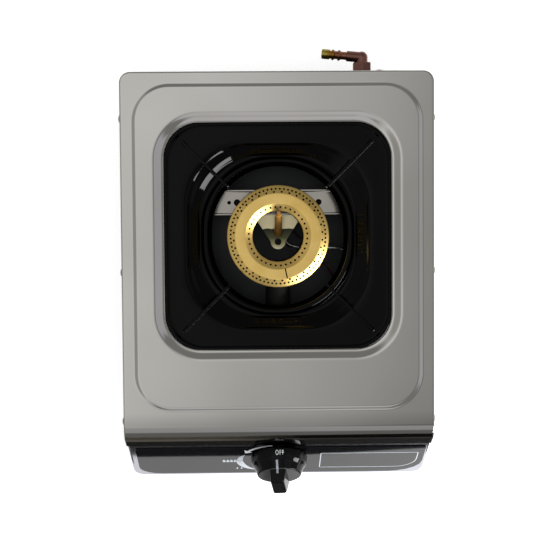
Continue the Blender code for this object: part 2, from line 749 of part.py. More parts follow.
def build_front_panel():
    top = PLATE_TOP - PANEL_TUCK
    bm = slanted_box(
        (-TRAY_HALF, 0.0, PANEL_BOTTOM), (TRAY_HALF, 0.0, top), panel_y)
    for vert in bm.verts:
        if vert.co.y > -GAP:
            vert.co.y = panel_y(vert.co.z, PANEL_FLANGE)
    bottoms = [
        e for e in sharp_edges(bm) if max(v.co.z for v in e.verts) < PANEL_BOTTOM + GAP
        and abs(e.verts[0].co.x - e.verts[1].co.x) < GAP
    ]
    round_edges(bm, bottoms, PANEL_CORNER, 5)
    face = min(bm.faces, key=lambda f: f.normal.y)
    round_edges(bm, list(face.edges), PANEL_BEND, 3)
    rear = max(bm.faces, key=lambda f: f.normal.y * f.calc_area())
    bmesh.ops.delete(bm, geom=[rear], context='FACES_ONLY')
    panel = add_object("front_panel", mesh_of("front_panel", bm), STAINLESS)
    solidify(panel, SHEET)
    reach = HALF_WIDTH + OVERRUN
    trim = bmesh.new()
    bmesh.ops.create_cube(trim, size=1.0)
    for vert in trim.verts:
        z = TRAY_BOTTOM - GAP / 2 if vert.co.z < 0 else PLATE_TOP
        back = PANEL_RETURN if vert.co.y < 0 else PANEL_FLANGE + OVERRUN
        vert.co = (math.copysign(reach, vert.co.x), panel_y(z, back), z)
    boolean(panel, placed_cutter("panel_trim", mesh_of("panel_trim", trim, smooth=False)))
    holes = []
    drill = rod_mesh("panel_drill", SCREW_SHANK + HOLE_FIT, -OVERRUN, OVERRUN, 8)
    for side in (-1, 1):
        holes.append((drill, Matrix.Translation((side * PANEL_SCREW_X, panel_screw_y(), PANEL_BOTTOM))))
    boolean(panel, placed_cutter("panel_flange_holes", joined_mesh("panel_flange_holes", holes)))
    boolean(panel, KNOB_HOLES)


def build_knob_holes():
    """The spindle's hole and the tap screws' holes, through the panel and its overlay."""
    drill = rod_mesh("tap_screw_drill", SCREW_SHANK + HOLE_FIT, -OVERRUN, OVERRUN, 8)
    spindle = rod_mesh("spindle_drill", SPINDLE_RADIUS + SPINDLE_FIT + HOLE_FIT, -OVERRUN, OVERRUN, 16)
    shapes = [(drill, Matrix.Translation((side * TAP_SCREW_SPREAD, 0.0, 0.0))) for side in (-1, 1)]
    shapes.append((spindle, Matrix.Identity(4)))
    return placed_cutter("knob_holes", joined_mesh("knob_holes", shapes), KNOB_AXIS)


def build_overlay():
    """A thin printed plate on the panel, with two large lower corners."""
    curve = bpy.data.curves.new("panel_overlay", 'CURVE')
    curve.dimensions = '2D'
    curve.fill_mode = 'BOTH'
    curve.extrude = OVERLAY_THICKNESS / 2
    top = OVERLAY_ABOVE_KNOB
    bottom = -OVERLAY_BELOW_KNOB
    corners = [
        (-OVERLAY_LEFT, bottom, OVERLAY_LEFT_CORNER, 180.0),
        (OVERLAY_RIGHT, bottom, OVERLAY_RIGHT_CORNER, 270.0),
        (OVERLAY_RIGHT, top, OVERLAY_TOP_CORNER, 0.0),
        (-OVERLAY_LEFT, top, OVERLAY_TOP_CORNER, 90.0),
    ]
    outline = []
    for x, y, radius, start in corners:
        cx = x - math.copysign(radius, x)
        cy = y - math.copysign(radius, y)
        for index in range(CORNER_SEGMENTS + 1):
            angle = math.radians(start + 90.0 * index / CORNER_SEGMENTS)
            outline.append((cx + radius * math.cos(angle), cy + radius * math.sin(angle)))
    spline = curve.splines.new('POLY')
    spline.points.add(len(outline) - 1)
    for point, (x, y) in zip(spline.points, outline):
        point.co = (x, y, 0.0, 1.0)
    spline.use_cyclic_u = True
    flat = add_object("overlay_outline", curve, OVERLAY)
    mesh = welded_mesh(flat, "panel_overlay")
    overlay = add_object("panel_overlay", mesh, OVERLAY, KNOB_AXIS, (0.0, 0.0, GAP + OVERLAY_THICKNESS / 2))
    boolean(overlay, OVERLAY_HOLE)


def welded_mesh(piece, name):
    """The evaluated mesh of a curve object, with its caps welded; the curve is removed."""
    bpy.context.view_layer.update()
    graph = bpy.context.evaluated_depsgraph_get()
    mesh = bpy.data.meshes.new_from_object(piece.evaluated_get(graph))
    mesh.name = name
    bm = bmesh.new()
    bm.from_mesh(mesh)
    bmesh.ops.remove_doubles(bm, verts=bm.verts, dist=0.00001)
    bm.to_mesh(mesh)
    bm.free()
    bpy.data.objects.remove(piece, do_unlink=True)
    return mesh


# Drip pan and its supports

def pan_ring(bm, across, drop, roundness):
    half_width = PAN_HALF + across * (PAN_HOLE_HALF_WIDTH - PAN_HALF)
    half_length = PAN_HALF + across * (PAN_HOLE_HALF_LENGTH - PAN_HALF)
    corner = min(PAN_CORNER + roundness * (PAN_HOLE_CORNER - PAN_CORNER), half_width - GAP)
    return rounded_ring(bm, half_width, -half_length, half_length, corner, PAN_BORDER - drop * PAN_DEPTH)


def build_drip_pan():
    bm = bmesh.new()
    bridge_rings(bm, [pan_ring(bm, *shares) for shares in PAN_RING_SHARES])
    bmesh.ops.recalc_face_normals(bm, faces=bm.faces)
    flat = max(bm.faces, key=lambda f: abs(f.normal.z) * f.calc_area())
    if flat.normal.z < 0:
        bmesh.ops.reverse_faces(bm, faces=bm.faces)
    pan = add_object("drip_pan", mesh_of("drip_pan", bm), ENAMEL)
    solidify(pan, SHEET)
    slots = []
    fit = SUPPORT_THICKNESS / 2 + HOLE_FIT
    tab = box_mesh("tab_slot", (tab_start() - HOLE_FIT, -fit, PAN_BORDER - OVERRUN),
                   (tab_start() + SUPPORT_TAB + HOLE_FIT, fit, PAN_BORDER + OVERRUN))
    for angle in (45.0, 135.0, 225.0, 315.0):
        slots.append((tab, Matrix.Rotation(math.radians(angle), 4, 'Z')))
    boolean(pan, placed_cutter("tab_slots", joined_mesh("tab_slots", slots)))


def tab_start():
    return SUPPORT_OUTER - SUPPORT_FOOT + (SUPPORT_FOOT - SUPPORT_TAB) / 2


def build_pan_supports():
    top = PLATE_TOP + SUPPORT_RISE
    base = PAN_BORDER + GAP
    ridge = PAN_BORDER - RIDGE_DEPTH_SHARE * PAN_DEPTH + GAP + SHEET / 2
    tab = tab_start()
    inner_foot = SUPPORT_INNER + SUPPORT_NOSE
    outline = [
        (SUPPORT_OUTER, base),
        (SUPPORT_OUTER - SUPPORT_FOOT / 8, top - SUPPORT_ARCH / 2),
        (SUPPORT_OUTER - SUPPORT_FOOT / 4, top),
        (SUPPORT_INNER + SUPPORT_ARCH / 2, top),
        (SUPPORT_INNER, top - SUPPORT_ARCH / 2),
        (SUPPORT_INNER, base),
        (inner_foot, ridge),
        (inner_foot + SUPPORT_RIDGE_FOOT / 2, ridge),
        (inner_foot + SUPPORT_RIDGE_FOOT, base + SUPPORT_ARCH),
        (SUPPORT_OUTER - SUPPORT_FOOT - SUPPORT_ARCH, base + SUPPORT_ARCH),
        (SUPPORT_OUTER - SUPPORT_FOOT, base),
        (tab, base),
        (tab, base - SUPPORT_TAB_DROP),
        (tab + SUPPORT_TAB, base - SUPPORT_TAB_DROP),
        (tab + SUPPORT_TAB, base),
    ]
    places = {
        "pan_support_rear_right": 45.0, "pan_support_rear_left": 135.0,
        "pan_support_front_left": 225.0, "pan_support_front_right": 315.0,
    }
    for name, angle in places.items():
        curve = bpy.data.curves.new(name, 'CURVE')
        curve.dimensions = '2D'
        curve.fill_mode = 'BOTH'
        curve.extrude = SUPPORT_THICKNESS / 2
        spline = curve.splines.new('POLY')
        spline.points.add(len(outline) - 1)
        for point, (along, height) in zip(spline.points, outline):
            point.co = (along, height, 0.0, 1.0)
        spline.use_cyclic_u = True
        support = add_object(name, curve, ENAMEL, rotation=(math.radians(90.0), 0.0, math.radians(angle)))
        weld = support.modifiers.new("weld", 'WELD')
        weld.merge_threshold = 0.00001


# Burner

def build_burner_cap():
    profile = [
        (CAP_FLAT_OUTER, CAP_TOP),
        (CAP_OUTER, CAP_TOP - CAP_OUTER_CHAMFER_DROP),
        (CAP_OUTER, CAP_BOTTOM),
        (CAP_OUTER - CAP_WALL, CAP_BOTTOM),
        (CAP_OUTER - CAP_WALL, CAP_TOP - CAP_OUTER_CHAMFER_DROP - CAP_WALL / 2),
        (CAP_FLAT_OUTER - CAP_WALL / 4, CAP_TOP - CAP_WALL),
        (CAP_FLAT_INNER + CAP_WALL / 4, CAP_TOP - CAP_WALL),
        (CAP_INNER + CAP_WALL, CAP_TOP - CAP_INNER_CHAMFER_DROP - CAP_WALL / 2),
        (CAP_INNER + CAP_WALL, CAP_BOTTOM),
        (CAP_INNER, CAP_BOTTOM),
        (CAP_INNER, CAP_TOP - CAP_INNER_CHAMFER_DROP),
        (CAP_FLAT_INNER, CAP_TOP),
    ]
    local = [(radius, height - CAP_BOTTOM) for radius, height in profile]
    cap = turned("burner_cap", local, BRASS, location=(0.0, 0.0, CAP_BOTTOM), steps=CAP_SEGMENTS, closed=True)
    drill = rod_mesh("port_drill", PORT_RADIUS, CAP_WALL, CAP_HEIGHT + CAP_WALL, 4)
    ports = []
    for radius, count in zip(PORT_ROW_RADII, PORT_ROW_COUNTS):
        for index in range(count):
            turn = Matrix.Rotation(math.tau * (index + 0.5) / count, 4, 'Z')
            ports.append((drill, turn @ Matrix.Translation((radius, 0.0, 0.0))))
    boolean(cap, placed_cutter("ports", joined_mesh("ports", ports), location=(0.0, 0.0, CAP_BOTTOM)))


def lug_places():
    return [(side * LUG_SPREAD, BRACKET_DISTANCE) for side in (-1, 1)]


def build_burner_body():
    """A cast ring-shaped chamber with its mixing tube and two lugs."""
    wall_foot = CAP_OUTER - BODY_TAPER
    outer = [
        (CAP_OUTER, BODY_TOP),
        (CAP_OUTER, BODY_TOP - BODY_FLANGE),
        (CAP_OUTER - BODY_WALL, BODY_TOP - BODY_FLANGE - BODY_WALL),
        (wall_foot, BODY_BOTTOM + BODY_WALL),
        (wall_foot - BODY_WALL, BODY_BOTTOM),
        (CAP_INNER + BODY_WALL, BODY_BOTTOM),
        (CAP_INNER, BODY_BOTTOM + BODY_WALL),
        (CAP_INNER, BODY_TOP),
    ]
    body = turned("burner_body", outer, CAST_IRON, steps=BODY_SEGMENTS, closed=True)
    pipe = rod_mesh("mixing_pipe", TUBE_OUTER, GAP, TUBE_LENGTH, 20)
    boolean(body, placed_cutter("mixing_pipe", pipe, MIX_AXIS), 'UNION')
    mouth = rod_mesh(
        "mouth", TUBE_OUTER - GAP, TUBE_LENGTH - TUBE_MOUTH_LENGTH, TUBE_LENGTH + GAP, 20, TUBE_MOUTH)
    boolean(body, placed_cutter("mixing_mouth", mouth, MIX_AXIS), 'UNION')
    lug = rod_mesh("lug", LUG_RADIUS, BRACKET_WEB_TOP + GAP, BODY_BOTTOM + BODY_FLOOR / 2, 12)
    for index, (x, y) in enumerate(lug_places()):
        boolean(body, placed_cutter(f"lug_{index}", lug, location=(x, y, 0.0)), 'UNION')
    groove_outer = CAP_OUTER - BODY_TAPER - BODY_WALL
    groove_inner = CAP_INNER + BODY_WALL
    groove = [
        (groove_outer + BODY_WALL, BODY_TOP + OVERRUN),
        (groove_outer, BODY_BOTTOM + BODY_FLOOR),
        (groove_inner, BODY_BOTTOM + BODY_FLOOR),
        (groove_inner, BODY_TOP + OVERRUN),
    ]
    cavity = turned("groove", groove, CUTTER, steps=BODY_SEGMENTS, closed=True)
    boolean(body, as_cutter(cavity))
    bore = rod_mesh("mixing_bore", TUBE_BORE, -TUBE_BORE / 2, TUBE_LENGTH + OVERRUN, 20)
    boolean(body, placed_cutter("mixing_bore", bore, MIX_AXIS))
    window = air_window_mesh("air_window", TUBE_OUTER + OVERRUN)
    boolean(body, placed_cutter("air_windows", window, MIX_AXIS))
    drill = rod_mesh("lug_drill", SCREW_SHANK + HOLE_FIT, BRACKET_WEB_TOP - OVERRUN,
                     BRACKET_WEB_TOP + SCREW_LENGTH, 8)
    shapes = [(drill, Matrix.Translation((x, y, 0.0))) for x, y in lug_places()]
    boolean(body, placed_cutter("lug_holes", joined_mesh("lug_holes", shapes)))


def air_window_mesh(name, reach):
    """A cross bar through both sides of the tube, which leaves two windows."""
    far = TUBE_LENGTH - AIR_WINDOW_FROM_MOUTH
    return box_mesh(
        name, (-reach, -AIR_WINDOW_WIDTH / 2, far - AIR_WINDOW_LENGTH), (reach, AIR_WINDOW_WIDTH / 2, far))


def build_air_shutter():
    inner = TUBE_OUTER + GAP
    outer = inner + SHUTTER_WALL
    centre = TUBE_LENGTH - AIR_WINDOW_FROM_MOUTH - AIR_WINDOW_LENGTH / 2
    start = centre - SHUTTER_LENGTH / 2
    end = min(centre + SHUTTER_LENGTH / 2, TUBE_LENGTH - TUBE_MOUTH_LENGTH - GAP)
    profile = [(outer, end), (outer, start), (inner, start), (inner, end)]
    shutter = turned("air_shutter", profile, ZINC, MIX_AXIS, steps=24, closed=True)
    window = air_window_mesh("shutter_window", outer + OVERRUN)
    boolean(shutter, placed_cutter("shutter_windows", window, MIX_AXIS))


# Bracket, pilot tongue and pilot parts

def build_bracket():
    half = TRAY_HALF - SHEET - GAP
    lower = BRACKET_WEB_TOP - BRACKET_SHEET
    bm = slanted_box(
        (-half, 0.0, lower), (half, BRACKET_DISTANCE + BRACKET_WIDTH / 2, lower + BRACKET_HEIGHT),
        lambda z: BRACKET_DISTANCE - BRACKET_WIDTH / 2,
    )
    bmesh.ops.delete(bm, geom=[f for f in bm.faces if f.normal.z > 0.9], context='FACES')
    long_edges = [
        e for e in sharp_edges(bm) if max(v.co.z for v in e.verts) < BRACKET_WEB_TOP
    ]
    round_edges(bm, long_edges, BRACKET_BEND, 2)
    bracket = add_object("burner_bracket", mesh_of("burner_bracket", bm), ZINC)
    solidify(bracket, BRACKET_SHEET)
    shapes = []
    for x, radius in zip(BRACKET_HOLE_PLACES, BRACKET_HOLE_RADII):
        drill = rod_mesh("bracket_drill", radius, lower - OVERRUN, lower + OVERRUN, 12)
        shapes.append((drill, Matrix.Translation((x, BRACKET_DISTANCE, 0.0))))
    small = rod_mesh("bracket_screw_drill", SCREW_SHANK + HOLE_FIT, -OVERRUN, OVERRUN, 8)
    for x, y in lug_places():
        shapes.append((small, Matrix.Translation((x, y, BRACKET_WEB_TOP))))
    for side in (-1, 1):
        shapes.append((small, along_x(side * half, BRACKET_DISTANCE, bracket_screw_height())))
    boolean(bracket, placed_cutter("bracket_holes", joined_mesh("bracket_holes", shapes)))


def tongue_height(y):
    """Height of the tongue's upper face: level at the tip, then rising to the bracket."""
    root = BRACKET_DISTANCE - BRACKET_WIDTH / 2 - TONGUE_SHEET - GAP
    if y < TONGUE_BEND_LINE:
        return TONGUE_LOW
    return TONGUE_LOW + TONGUE_RISE * (y - TONGUE_BEND_LINE) / (root - TONGUE_BEND_LINE)


def build_tongue():
    """A three-cornered tongue that hangs on the bracket's front flange."""
    root = BRACKET_DISTANCE - BRACKET_WIDTH / 2 - GAP
    root_height = tongue_height(root)
    rows = [(root, TONGUE_ROOT_HALF, root_height - TONGUE_TAB), (root, TONGUE_ROOT_HALF, root_height)]
    slope = (TONGUE_ROOT_HALF - TONGUE_TIP_RADIUS) / (root - TONGUE_TIP_CENTRE)
    for y in (TONGUE_BEND_LINE, TONGUE_BEND_LINE - TONGUE_SHEET, TONGUE_TIP_CENTRE / 2):
        rows.append((y, TONGUE_TIP_RADIUS + slope * (y - TONGUE_TIP_CENTRE), tongue_height(y)))
    tip_steps = 5
    for index in range(tip_steps):
        angle = math.radians(90.0) * index / tip_steps
        y = TONGUE_TIP_CENTRE - TONGUE_TIP_RADIUS * math.sin(angle)
        rows.append((y, TONGUE_TIP_RADIUS * math.cos(angle), tongue_height(y)))
    bm = bmesh.new()
    pairs = [
        (bm.verts.new((PILOT_OFFSET - half, y, z)), bm.verts.new((PILOT_OFFSET + half, y, z)))
        for y, half, z in rows
    ]
    for (left, right), (left_after, right_after) in zip(pairs, pairs[1:]):
        bm.faces.new((left, left_after, right_after, right))
    tip = bm.verts.new((PILOT_OFFSET, TONGUE_TIP_CENTRE - TONGUE_TIP_RADIUS, TONGUE_LOW))
    bm.faces.new((pairs[-1][0], tip, pairs[-1][1]))
    tongue = add_object("pilot_bracket", mesh_of("pilot_bracket", bm), STAINLESS)
    solidify(tongue, TONGUE_SHEET)
    hole = rod_mesh("tongue_hole", TONGUE_HOLE, TONGUE_LOW - OVERRUN, TONGUE_LOW + OVERRUN, 16)
    stub = rod_mesh("stub_hole", NOZZLE_STUB + GAP, TONGUE_LOW - OVERRUN, TONGUE_LOW + OVERRUN, 12)
    rod = rod_mesh("electrode_hole", ELECTRODE_RADIUS + GAP, TONGUE_LOW - OVERRUN, TONGUE_LOW + OVERRUN, 12)
    shapes = [
        (hole, Matrix.Translation((PILOT_OFFSET, TONGUE_TIP_CENTRE, 0.0))),
        (stub, Matrix.Translation((PILOT_OFFSET, NOZZLE_FOOT_Y, 0.0))),
        (rod, Matrix.Translation((PILOT_OFFSET, ELECTRODE_Y, 0.0))),
    ]
    boolean(tongue, placed_cutter("tongue_holes", joined_mesh("tongue_holes", shapes)))


def nozzle_frame():
    """The pilot nozzle's foot, length and lean from the vertical."""
    foot = Vector((PILOT_OFFSET, NOZZLE_FOOT_Y, TONGUE_LOW + NOZZLE_COLLAR))
    tip = Vector((PILOT_OFFSET, NOZZLE_TIP_Y, CAP_TOP - NOZZLE_TIP_DROP))
    run = tip - foot
    return foot, run.length, math.atan2(run.y, run.z)


def build_pilot_nozzle():
    foot, length, lean = nozzle_frame()
    profile = [
        (0.0, length), (NOZZLE_TIP, length), (NOZZLE_TIP, length * 0.88), (NOZZLE_TIP * 1.5, length * 0.87),
        (NOZZLE_TIP * 1.6, length * 0.78), (NOZZLE_BODY, length * 0.74), (NOZZLE_BODY, length * 0.2),
        (NOZZLE_COLLAR, length * 0.14), (NOZZLE_COLLAR, 0.0), (NOZZLE_COLLAR * 0.8, -NOZZLE_COLLAR / 4),
        (0.0, -NOZZLE_COLLAR / 4),
    ]
    nozzle = turned("pilot_nozzle", profile, BRASS, location=foot, rotation=(-lean, 0.0, 0.0), steps=14)
    reach = 2 * NOZZLE_COLLAR
    below = box_mesh("nozzle_trim", (-reach, -reach, -reach), (reach, reach, 0.0))
    seat = (PILOT_OFFSET, NOZZLE_FOOT_Y, TONGUE_LOW + GAP)
    boolean(nozzle, placed_cutter("nozzle_trim", below, location=seat))
    stub = rod_mesh("nozzle_stub", NOZZLE_STUB, TONGUE_LOW - NOZZLE_STUB_DROP, foot.z, 12)
    boolean(nozzle, placed_cutter("nozzle_stub", stub, location=(PILOT_OFFSET, NOZZLE_FOOT_Y, 0.0)), 'UNION')


def electrode_seat():
    """Height of the tongue under the rear edge of the electrode's collar."""
    return tongue_height(ELECTRODE_Y + ELECTRODE_COLLAR)


def build_electrode():
    top = electrode_seat()
    collar = top + GAP
    profile = [
        (0.0, collar + ELECTRODE_ABOVE),
        (ELECTRODE_RADIUS * 0.7, collar + ELECTRODE_ABOVE),
        (ELECTRODE_RADIUS, collar + ELECTRODE_ABOVE * 0.9),
        (ELECTRODE_RADIUS, collar + ELECTRODE_COLLAR),
        (ELECTRODE_COLLAR, collar + ELECTRODE_COLLAR * 0.8),
        (ELECTRODE_COLLAR, collar),
        (ELECTRODE_RADIUS, collar),
        (ELECTRODE_RADIUS, top - ELECTRODE_BELOW),
        (0.0, top - ELECTRODE_BELOW),
    ]
    turned("electrode_ceramic", profile, CERAMIC, location=(PILOT_OFFSET, ELECTRODE_Y, 0.0), steps=12)
    foot, length, lean = nozzle_frame()
    along = Vector((0.0, math.sin(lean), math.cos(lean)))
    under = Vector((0.0, math.cos(lean), -math.sin(lean))) * (NOZZLE_BODY + 3 * PIN_RADIUS)
    start = Vector((PILOT_OFFSET, ELECTRODE_Y, collar + ELECTRODE_ABOVE + GAP))
    near = foot + along * (length * 0.50) + under
    end = foot + along * (length * 0.74) + under
    tube("electrode_pin", [start, start + Vector((0.0, 0.0, 2 * PIN_RADIUS)), near, end], PIN_RADIUS, ZINC,
         resolution=1)


def build_pilot_tube():
    """The pilot's thin gas tube, from the tap round the right of the burner to the nozzle's foot."""
    foot = Vector((PILOT_OFFSET, NOZZLE_FOOT_Y, TONGUE_LOW - NOZZLE_STUB_DROP - GAP))
    straight = Vector((0.0, 0.0, PILOT_TUBE_STRAIGHT))
    depth = tap_front() - PILOT_BOSS_DEPTH
    tap = TAP_HALF + PILOT_BOSS_REACH + GAP
    above = knob_point(PILOT_BOSS_X, tap + 3 * PILOT_TUBE_STRAIGHT, depth)
    points = [foot, foot - straight, *PILOT_TUBE_ROUTE, above, knob_point(PILOT_BOSS_X, tap, depth)]
    tube("pilot_tube", points, PILOT_TUBE_RADIUS, ALUMINIUM)


def knob_point(x, up, out):
    """A point in the panel's own frame: right, up the slope and outwards from its face."""
    turn = Matrix.Rotation(PANEL_TILT, 3, 'X')
    return Vector((0.0, panel_y(KNOB_HEIGHT), KNOB_HEIGHT)) + turn @ Vector((x, up, out))


def tap_front():
    """Depth of the tap body's front below the panel's outer face."""
    return -SHEET - GAP - TAP_COVER - GAP


def build_ignition_lead():
    """The igniter's lead, from the electrode's foot under the burner to the igniter by the tap."""
    foot = Vector((PILOT_OFFSET, ELECTRODE_Y, electrode_seat() - ELECTRODE_BELOW - GAP))
    straight = Vector((0.0, 0.0, LEAD_STRAIGHT))
    beside = -TAP_HALF - GAP - IGNITER_WIDTH / 2
    end = knob_point(beside, 0.0, igniter_back() - GAP)
    inward = knob_point(beside, 0.0, igniter_back() - LEAD_STRAIGHT)
    points = [foot, foot - straight, *LEAD_ROUTE, inward, end]
    tube("ignition_lead", points, LEAD_RADIUS, LEAD)


# Tap behind the panel, in the panel's own frame with Z outwards

def box_object(name, lower, upper, material, parent=None, edge=0.0, segments=2):
    piece = add_object(name, box_mesh(name, lower, upper), material, parent)
    if edge:
        bevel(piece, edge, segments)
    return piece


def build_tap():
    front = tap_front()
    back = front - TAP_DEPTH
    body = box_object("tap_body", (-TAP_HALF, -TAP_HALF, back), (TAP_HALF, TAP_HALF, front), ALUMINIUM,
                      KNOB_AXIS, 2 * SHEET)
    ears = box_mesh(
        "tap_ears", (-TAP_EAR_HALF_WIDTH, -TAP_EAR_HALF_HEIGHT, front - TAP_EAR_THICKNESS),
        (TAP_EAR_HALF_WIDTH, TAP_EAR_HALF_HEIGHT, front - GAP / 3))
    boolean(body, placed_cutter("tap_ears", ears, KNOB_AXIS), 'UNION')
    outlet_start = TUBE_LENGTH + JET_GAP
    outlet = rod_mesh("outlet", OUTLET_RADIUS, outlet_start, outlet_start + outlet_reach(), 16)
    boolean(body, placed_cutter("outlet", outlet, MIX_AXIS), 'UNION')
    inlet = rod_mesh("tap_inlet", TAP_INLET_RADIUS, TAP_HALF - GAP, TAP_HALF + TAP_INLET_REACH, 16)
    inlet_turn = (0.0, math.radians(90.0), 0.0)
    inlet_depth = front - TAP_INLET_DEPTH
    boolean(body, placed_cutter("tap_inlet", inlet, KNOB_AXIS, (0.0, 0.0, inlet_depth), inlet_turn), 'UNION')
    boss = rod_mesh("pilot_boss", PILOT_BOSS_RADIUS, TAP_HALF - GAP, TAP_HALF + PILOT_BOSS_REACH, 12)
    boss_turn = (math.radians(-90.0), 0.0, 0.0)
    boss_place = (PILOT_BOSS_X, 0.0, front - PILOT_BOSS_DEPTH)
    boolean(body, placed_cutter("pilot_boss", boss, KNOB_AXIS, boss_place, boss_turn), 'UNION')
    chamber = rod_mesh("chamber", TAP_CHAMBER, front - TAP_CHAMBER_DEPTH, front + OVERRUN, 20)
    boolean(body, placed_cutter("tap_chamber", chamber, KNOB_AXIS))
    plug_bore = rod_mesh(
        "plug_bore", PLUG_RADIUS + 2 * GAP, back + PLUG_WALL, front - TAP_CHAMBER_DEPTH + GAP, 20)
    boolean(body, placed_cutter("plug_bore", plug_bore, KNOB_AXIS))
    jet_bore = rod_mesh("jet_bore", OUTLET_BORE, outlet_start - OVERRUN,
                        outlet_start + JET_THREAD_LENGTH + 2 * GAP, 12)
    boolean(body, placed_cutter("jet_bore", jet_bore, MIX_AXIS))
    pipe_bore = rod_mesh("pipe_bore", PIPE_RADIUS + GAP, TAP_HALF + GAP,
                         TAP_HALF + TAP_INLET_REACH + OVERRUN, 12)
    boolean(body, placed_cutter("pipe_bore", pipe_bore, KNOB_AXIS, (0.0, 0.0, inlet_depth), inlet_turn))
    drill = rod_mesh(
        "ear_drill", SCREW_SHANK + HOLE_FIT, front - TAP_EAR_THICKNESS - OVERRUN, front + OVERRUN, 8)
    shapes = [(drill, Matrix.Translation((side * TAP_SCREW_SPREAD, 0.0, 0.0))) for side in (-1, 1)]
    boolean(body, placed_cutter("ear_holes", joined_mesh("ear_holes", shapes), KNOB_AXIS))

    cover = box_object(
        "tap_cover", (-TAP_EAR_HALF_WIDTH, -TAP_EAR_HALF_HEIGHT, front + GAP),
        (TAP_EAR_HALF_WIDTH, TAP_EAR_HALF_HEIGHT, front + GAP + TAP_COVER), ZINC, KNOB_AXIS)
    cover_far = front + OVERRUN + TAP_COVER
    hole = rod_mesh("cover_hole", SPINDLE_RADIUS + SPINDLE_FIT, front - OVERRUN, cover_far, 16)
    screws = rod_mesh("cover_drill", SCREW_SHANK + HOLE_FIT, front - OVERRUN, cover_far, 8)
    shapes = [(screws, Matrix.Translation((side * TAP_SCREW_SPREAD, 0.0, 0.0))) for side in (-1, 1)]
    shapes.append((hole, Matrix.Identity(4)))
    boolean(cover, placed_cutter("cover_holes", joined_mesh("cover_holes", shapes), KNOB_AXIS))


def outlet_reach():
    """Length of the tap's outlet from its face to the middle of the tap's rear half."""
    front = MIX_AXIS.matrix_basis @ Vector((0.0, 0.0, TUBE_LENGTH + JET_GAP))
    middle = knob_point(0.0, TAP_HALF / 3, tap_front() - TAP_DEPTH * 0.8)
    return (middle - front).length


def build_spindle_set():
    front = tap_front()
    collar_top = front - COLLAR_DROP
    spindle_top = KNOB_STANDOFF + KNOB_DEPTH - KNOB_WALL - GAP - KNOB_WALL
    plug_top = front - TAP_CHAMBER_DEPTH - GAP
    plug_bottom = plug_top - PLUG_LENGTH
    profile = [
        (0.0, spindle_top), (SPINDLE_RADIUS - GAP, spindle_top), (SPINDLE_RADIUS, spindle_top - GAP),
        (SPINDLE_RADIUS, plug_top - PLUG_LENGTH / 2), (0.0, plug_top - PLUG_LENGTH / 2),
    ]
    turned("tap_spindle", profile, BRASS, KNOB_AXIS, steps=16)
    plug = [
        (0.0, plug_top - PLUG_LENGTH / 2 - GAP), (SPINDLE_RADIUS + GAP, plug_top - PLUG_LENGTH / 2 - GAP),
        (SPINDLE_RADIUS + GAP, plug_top), (PLUG_RADIUS, plug_top), (PLUG_RADIUS, plug_bottom),
        (0.0, plug_bottom),
    ]
    turned("tap_plug", plug, BRASS, KNOB_AXIS, steps=16)
    collar = [
        (COLLAR_RADIUS, collar_top), (COLLAR_RADIUS, collar_top - COLLAR_THICKNESS),
        (SPINDLE_RADIUS + GAP, collar_top - COLLAR_THICKNESS), (SPINDLE_RADIUS + GAP, collar_top),
    ]
    turned("push_collar", collar, ZINC, KNOB_AXIS, steps=20, closed=True)
    spring_top = collar_top - COLLAR_THICKNESS - GAP - SPRING_WIRE
    build_tap_spring(spring_top, front - TAP_CHAMBER_DEPTH + GAP + SPRING_WIRE)


def build_tap_spring(top, bottom):
    """A coil spring round the spindle, between the collar and the chamber's floor."""
    curve = bpy.data.curves.new("tap_spring", 'CURVE')
    curve.dimensions = '3D'
    curve.bevel_depth = SPRING_WIRE
    curve.bevel_resolution = 0
    curve.use_fill_caps = True
    count = SPRING_TURNS * SPRING_POINTS_A_TURN
    spline = curve.splines.new('POLY')
    spline.points.add(count)
    for index, point in enumerate(spline.points):
        angle = math.tau * index / SPRING_POINTS_A_TURN
        height = top + (bottom - top) * index / count
        point.co = (SPRING_RADIUS * math.cos(angle), SPRING_RADIUS * math.sin(angle), height, 1.0)
    add_object("tap_spring", curve, ZINC, KNOB_AXIS)


def build_jet():
    seat = TUBE_LENGTH + JET_GAP - GAP
    thread_end = seat + GAP + JET_THREAD_LENGTH
    tip_root = seat - JET_HEX_LENGTH
    tip_end = tip_root - JET_TIP_LENGTH
    profile = [
        (0.0, thread_end), (JET_THREAD, thread_end), (JET_THREAD, seat), (JET_HEX, seat), (JET_HEX, tip_root),
        (JET_TIP, tip_root), (JET_TIP * 0.7, tip_end), (0.0, tip_end),
    ]
    turned("main_jet", profile, BRASS, MIX_AXIS, steps=12)


# Knob

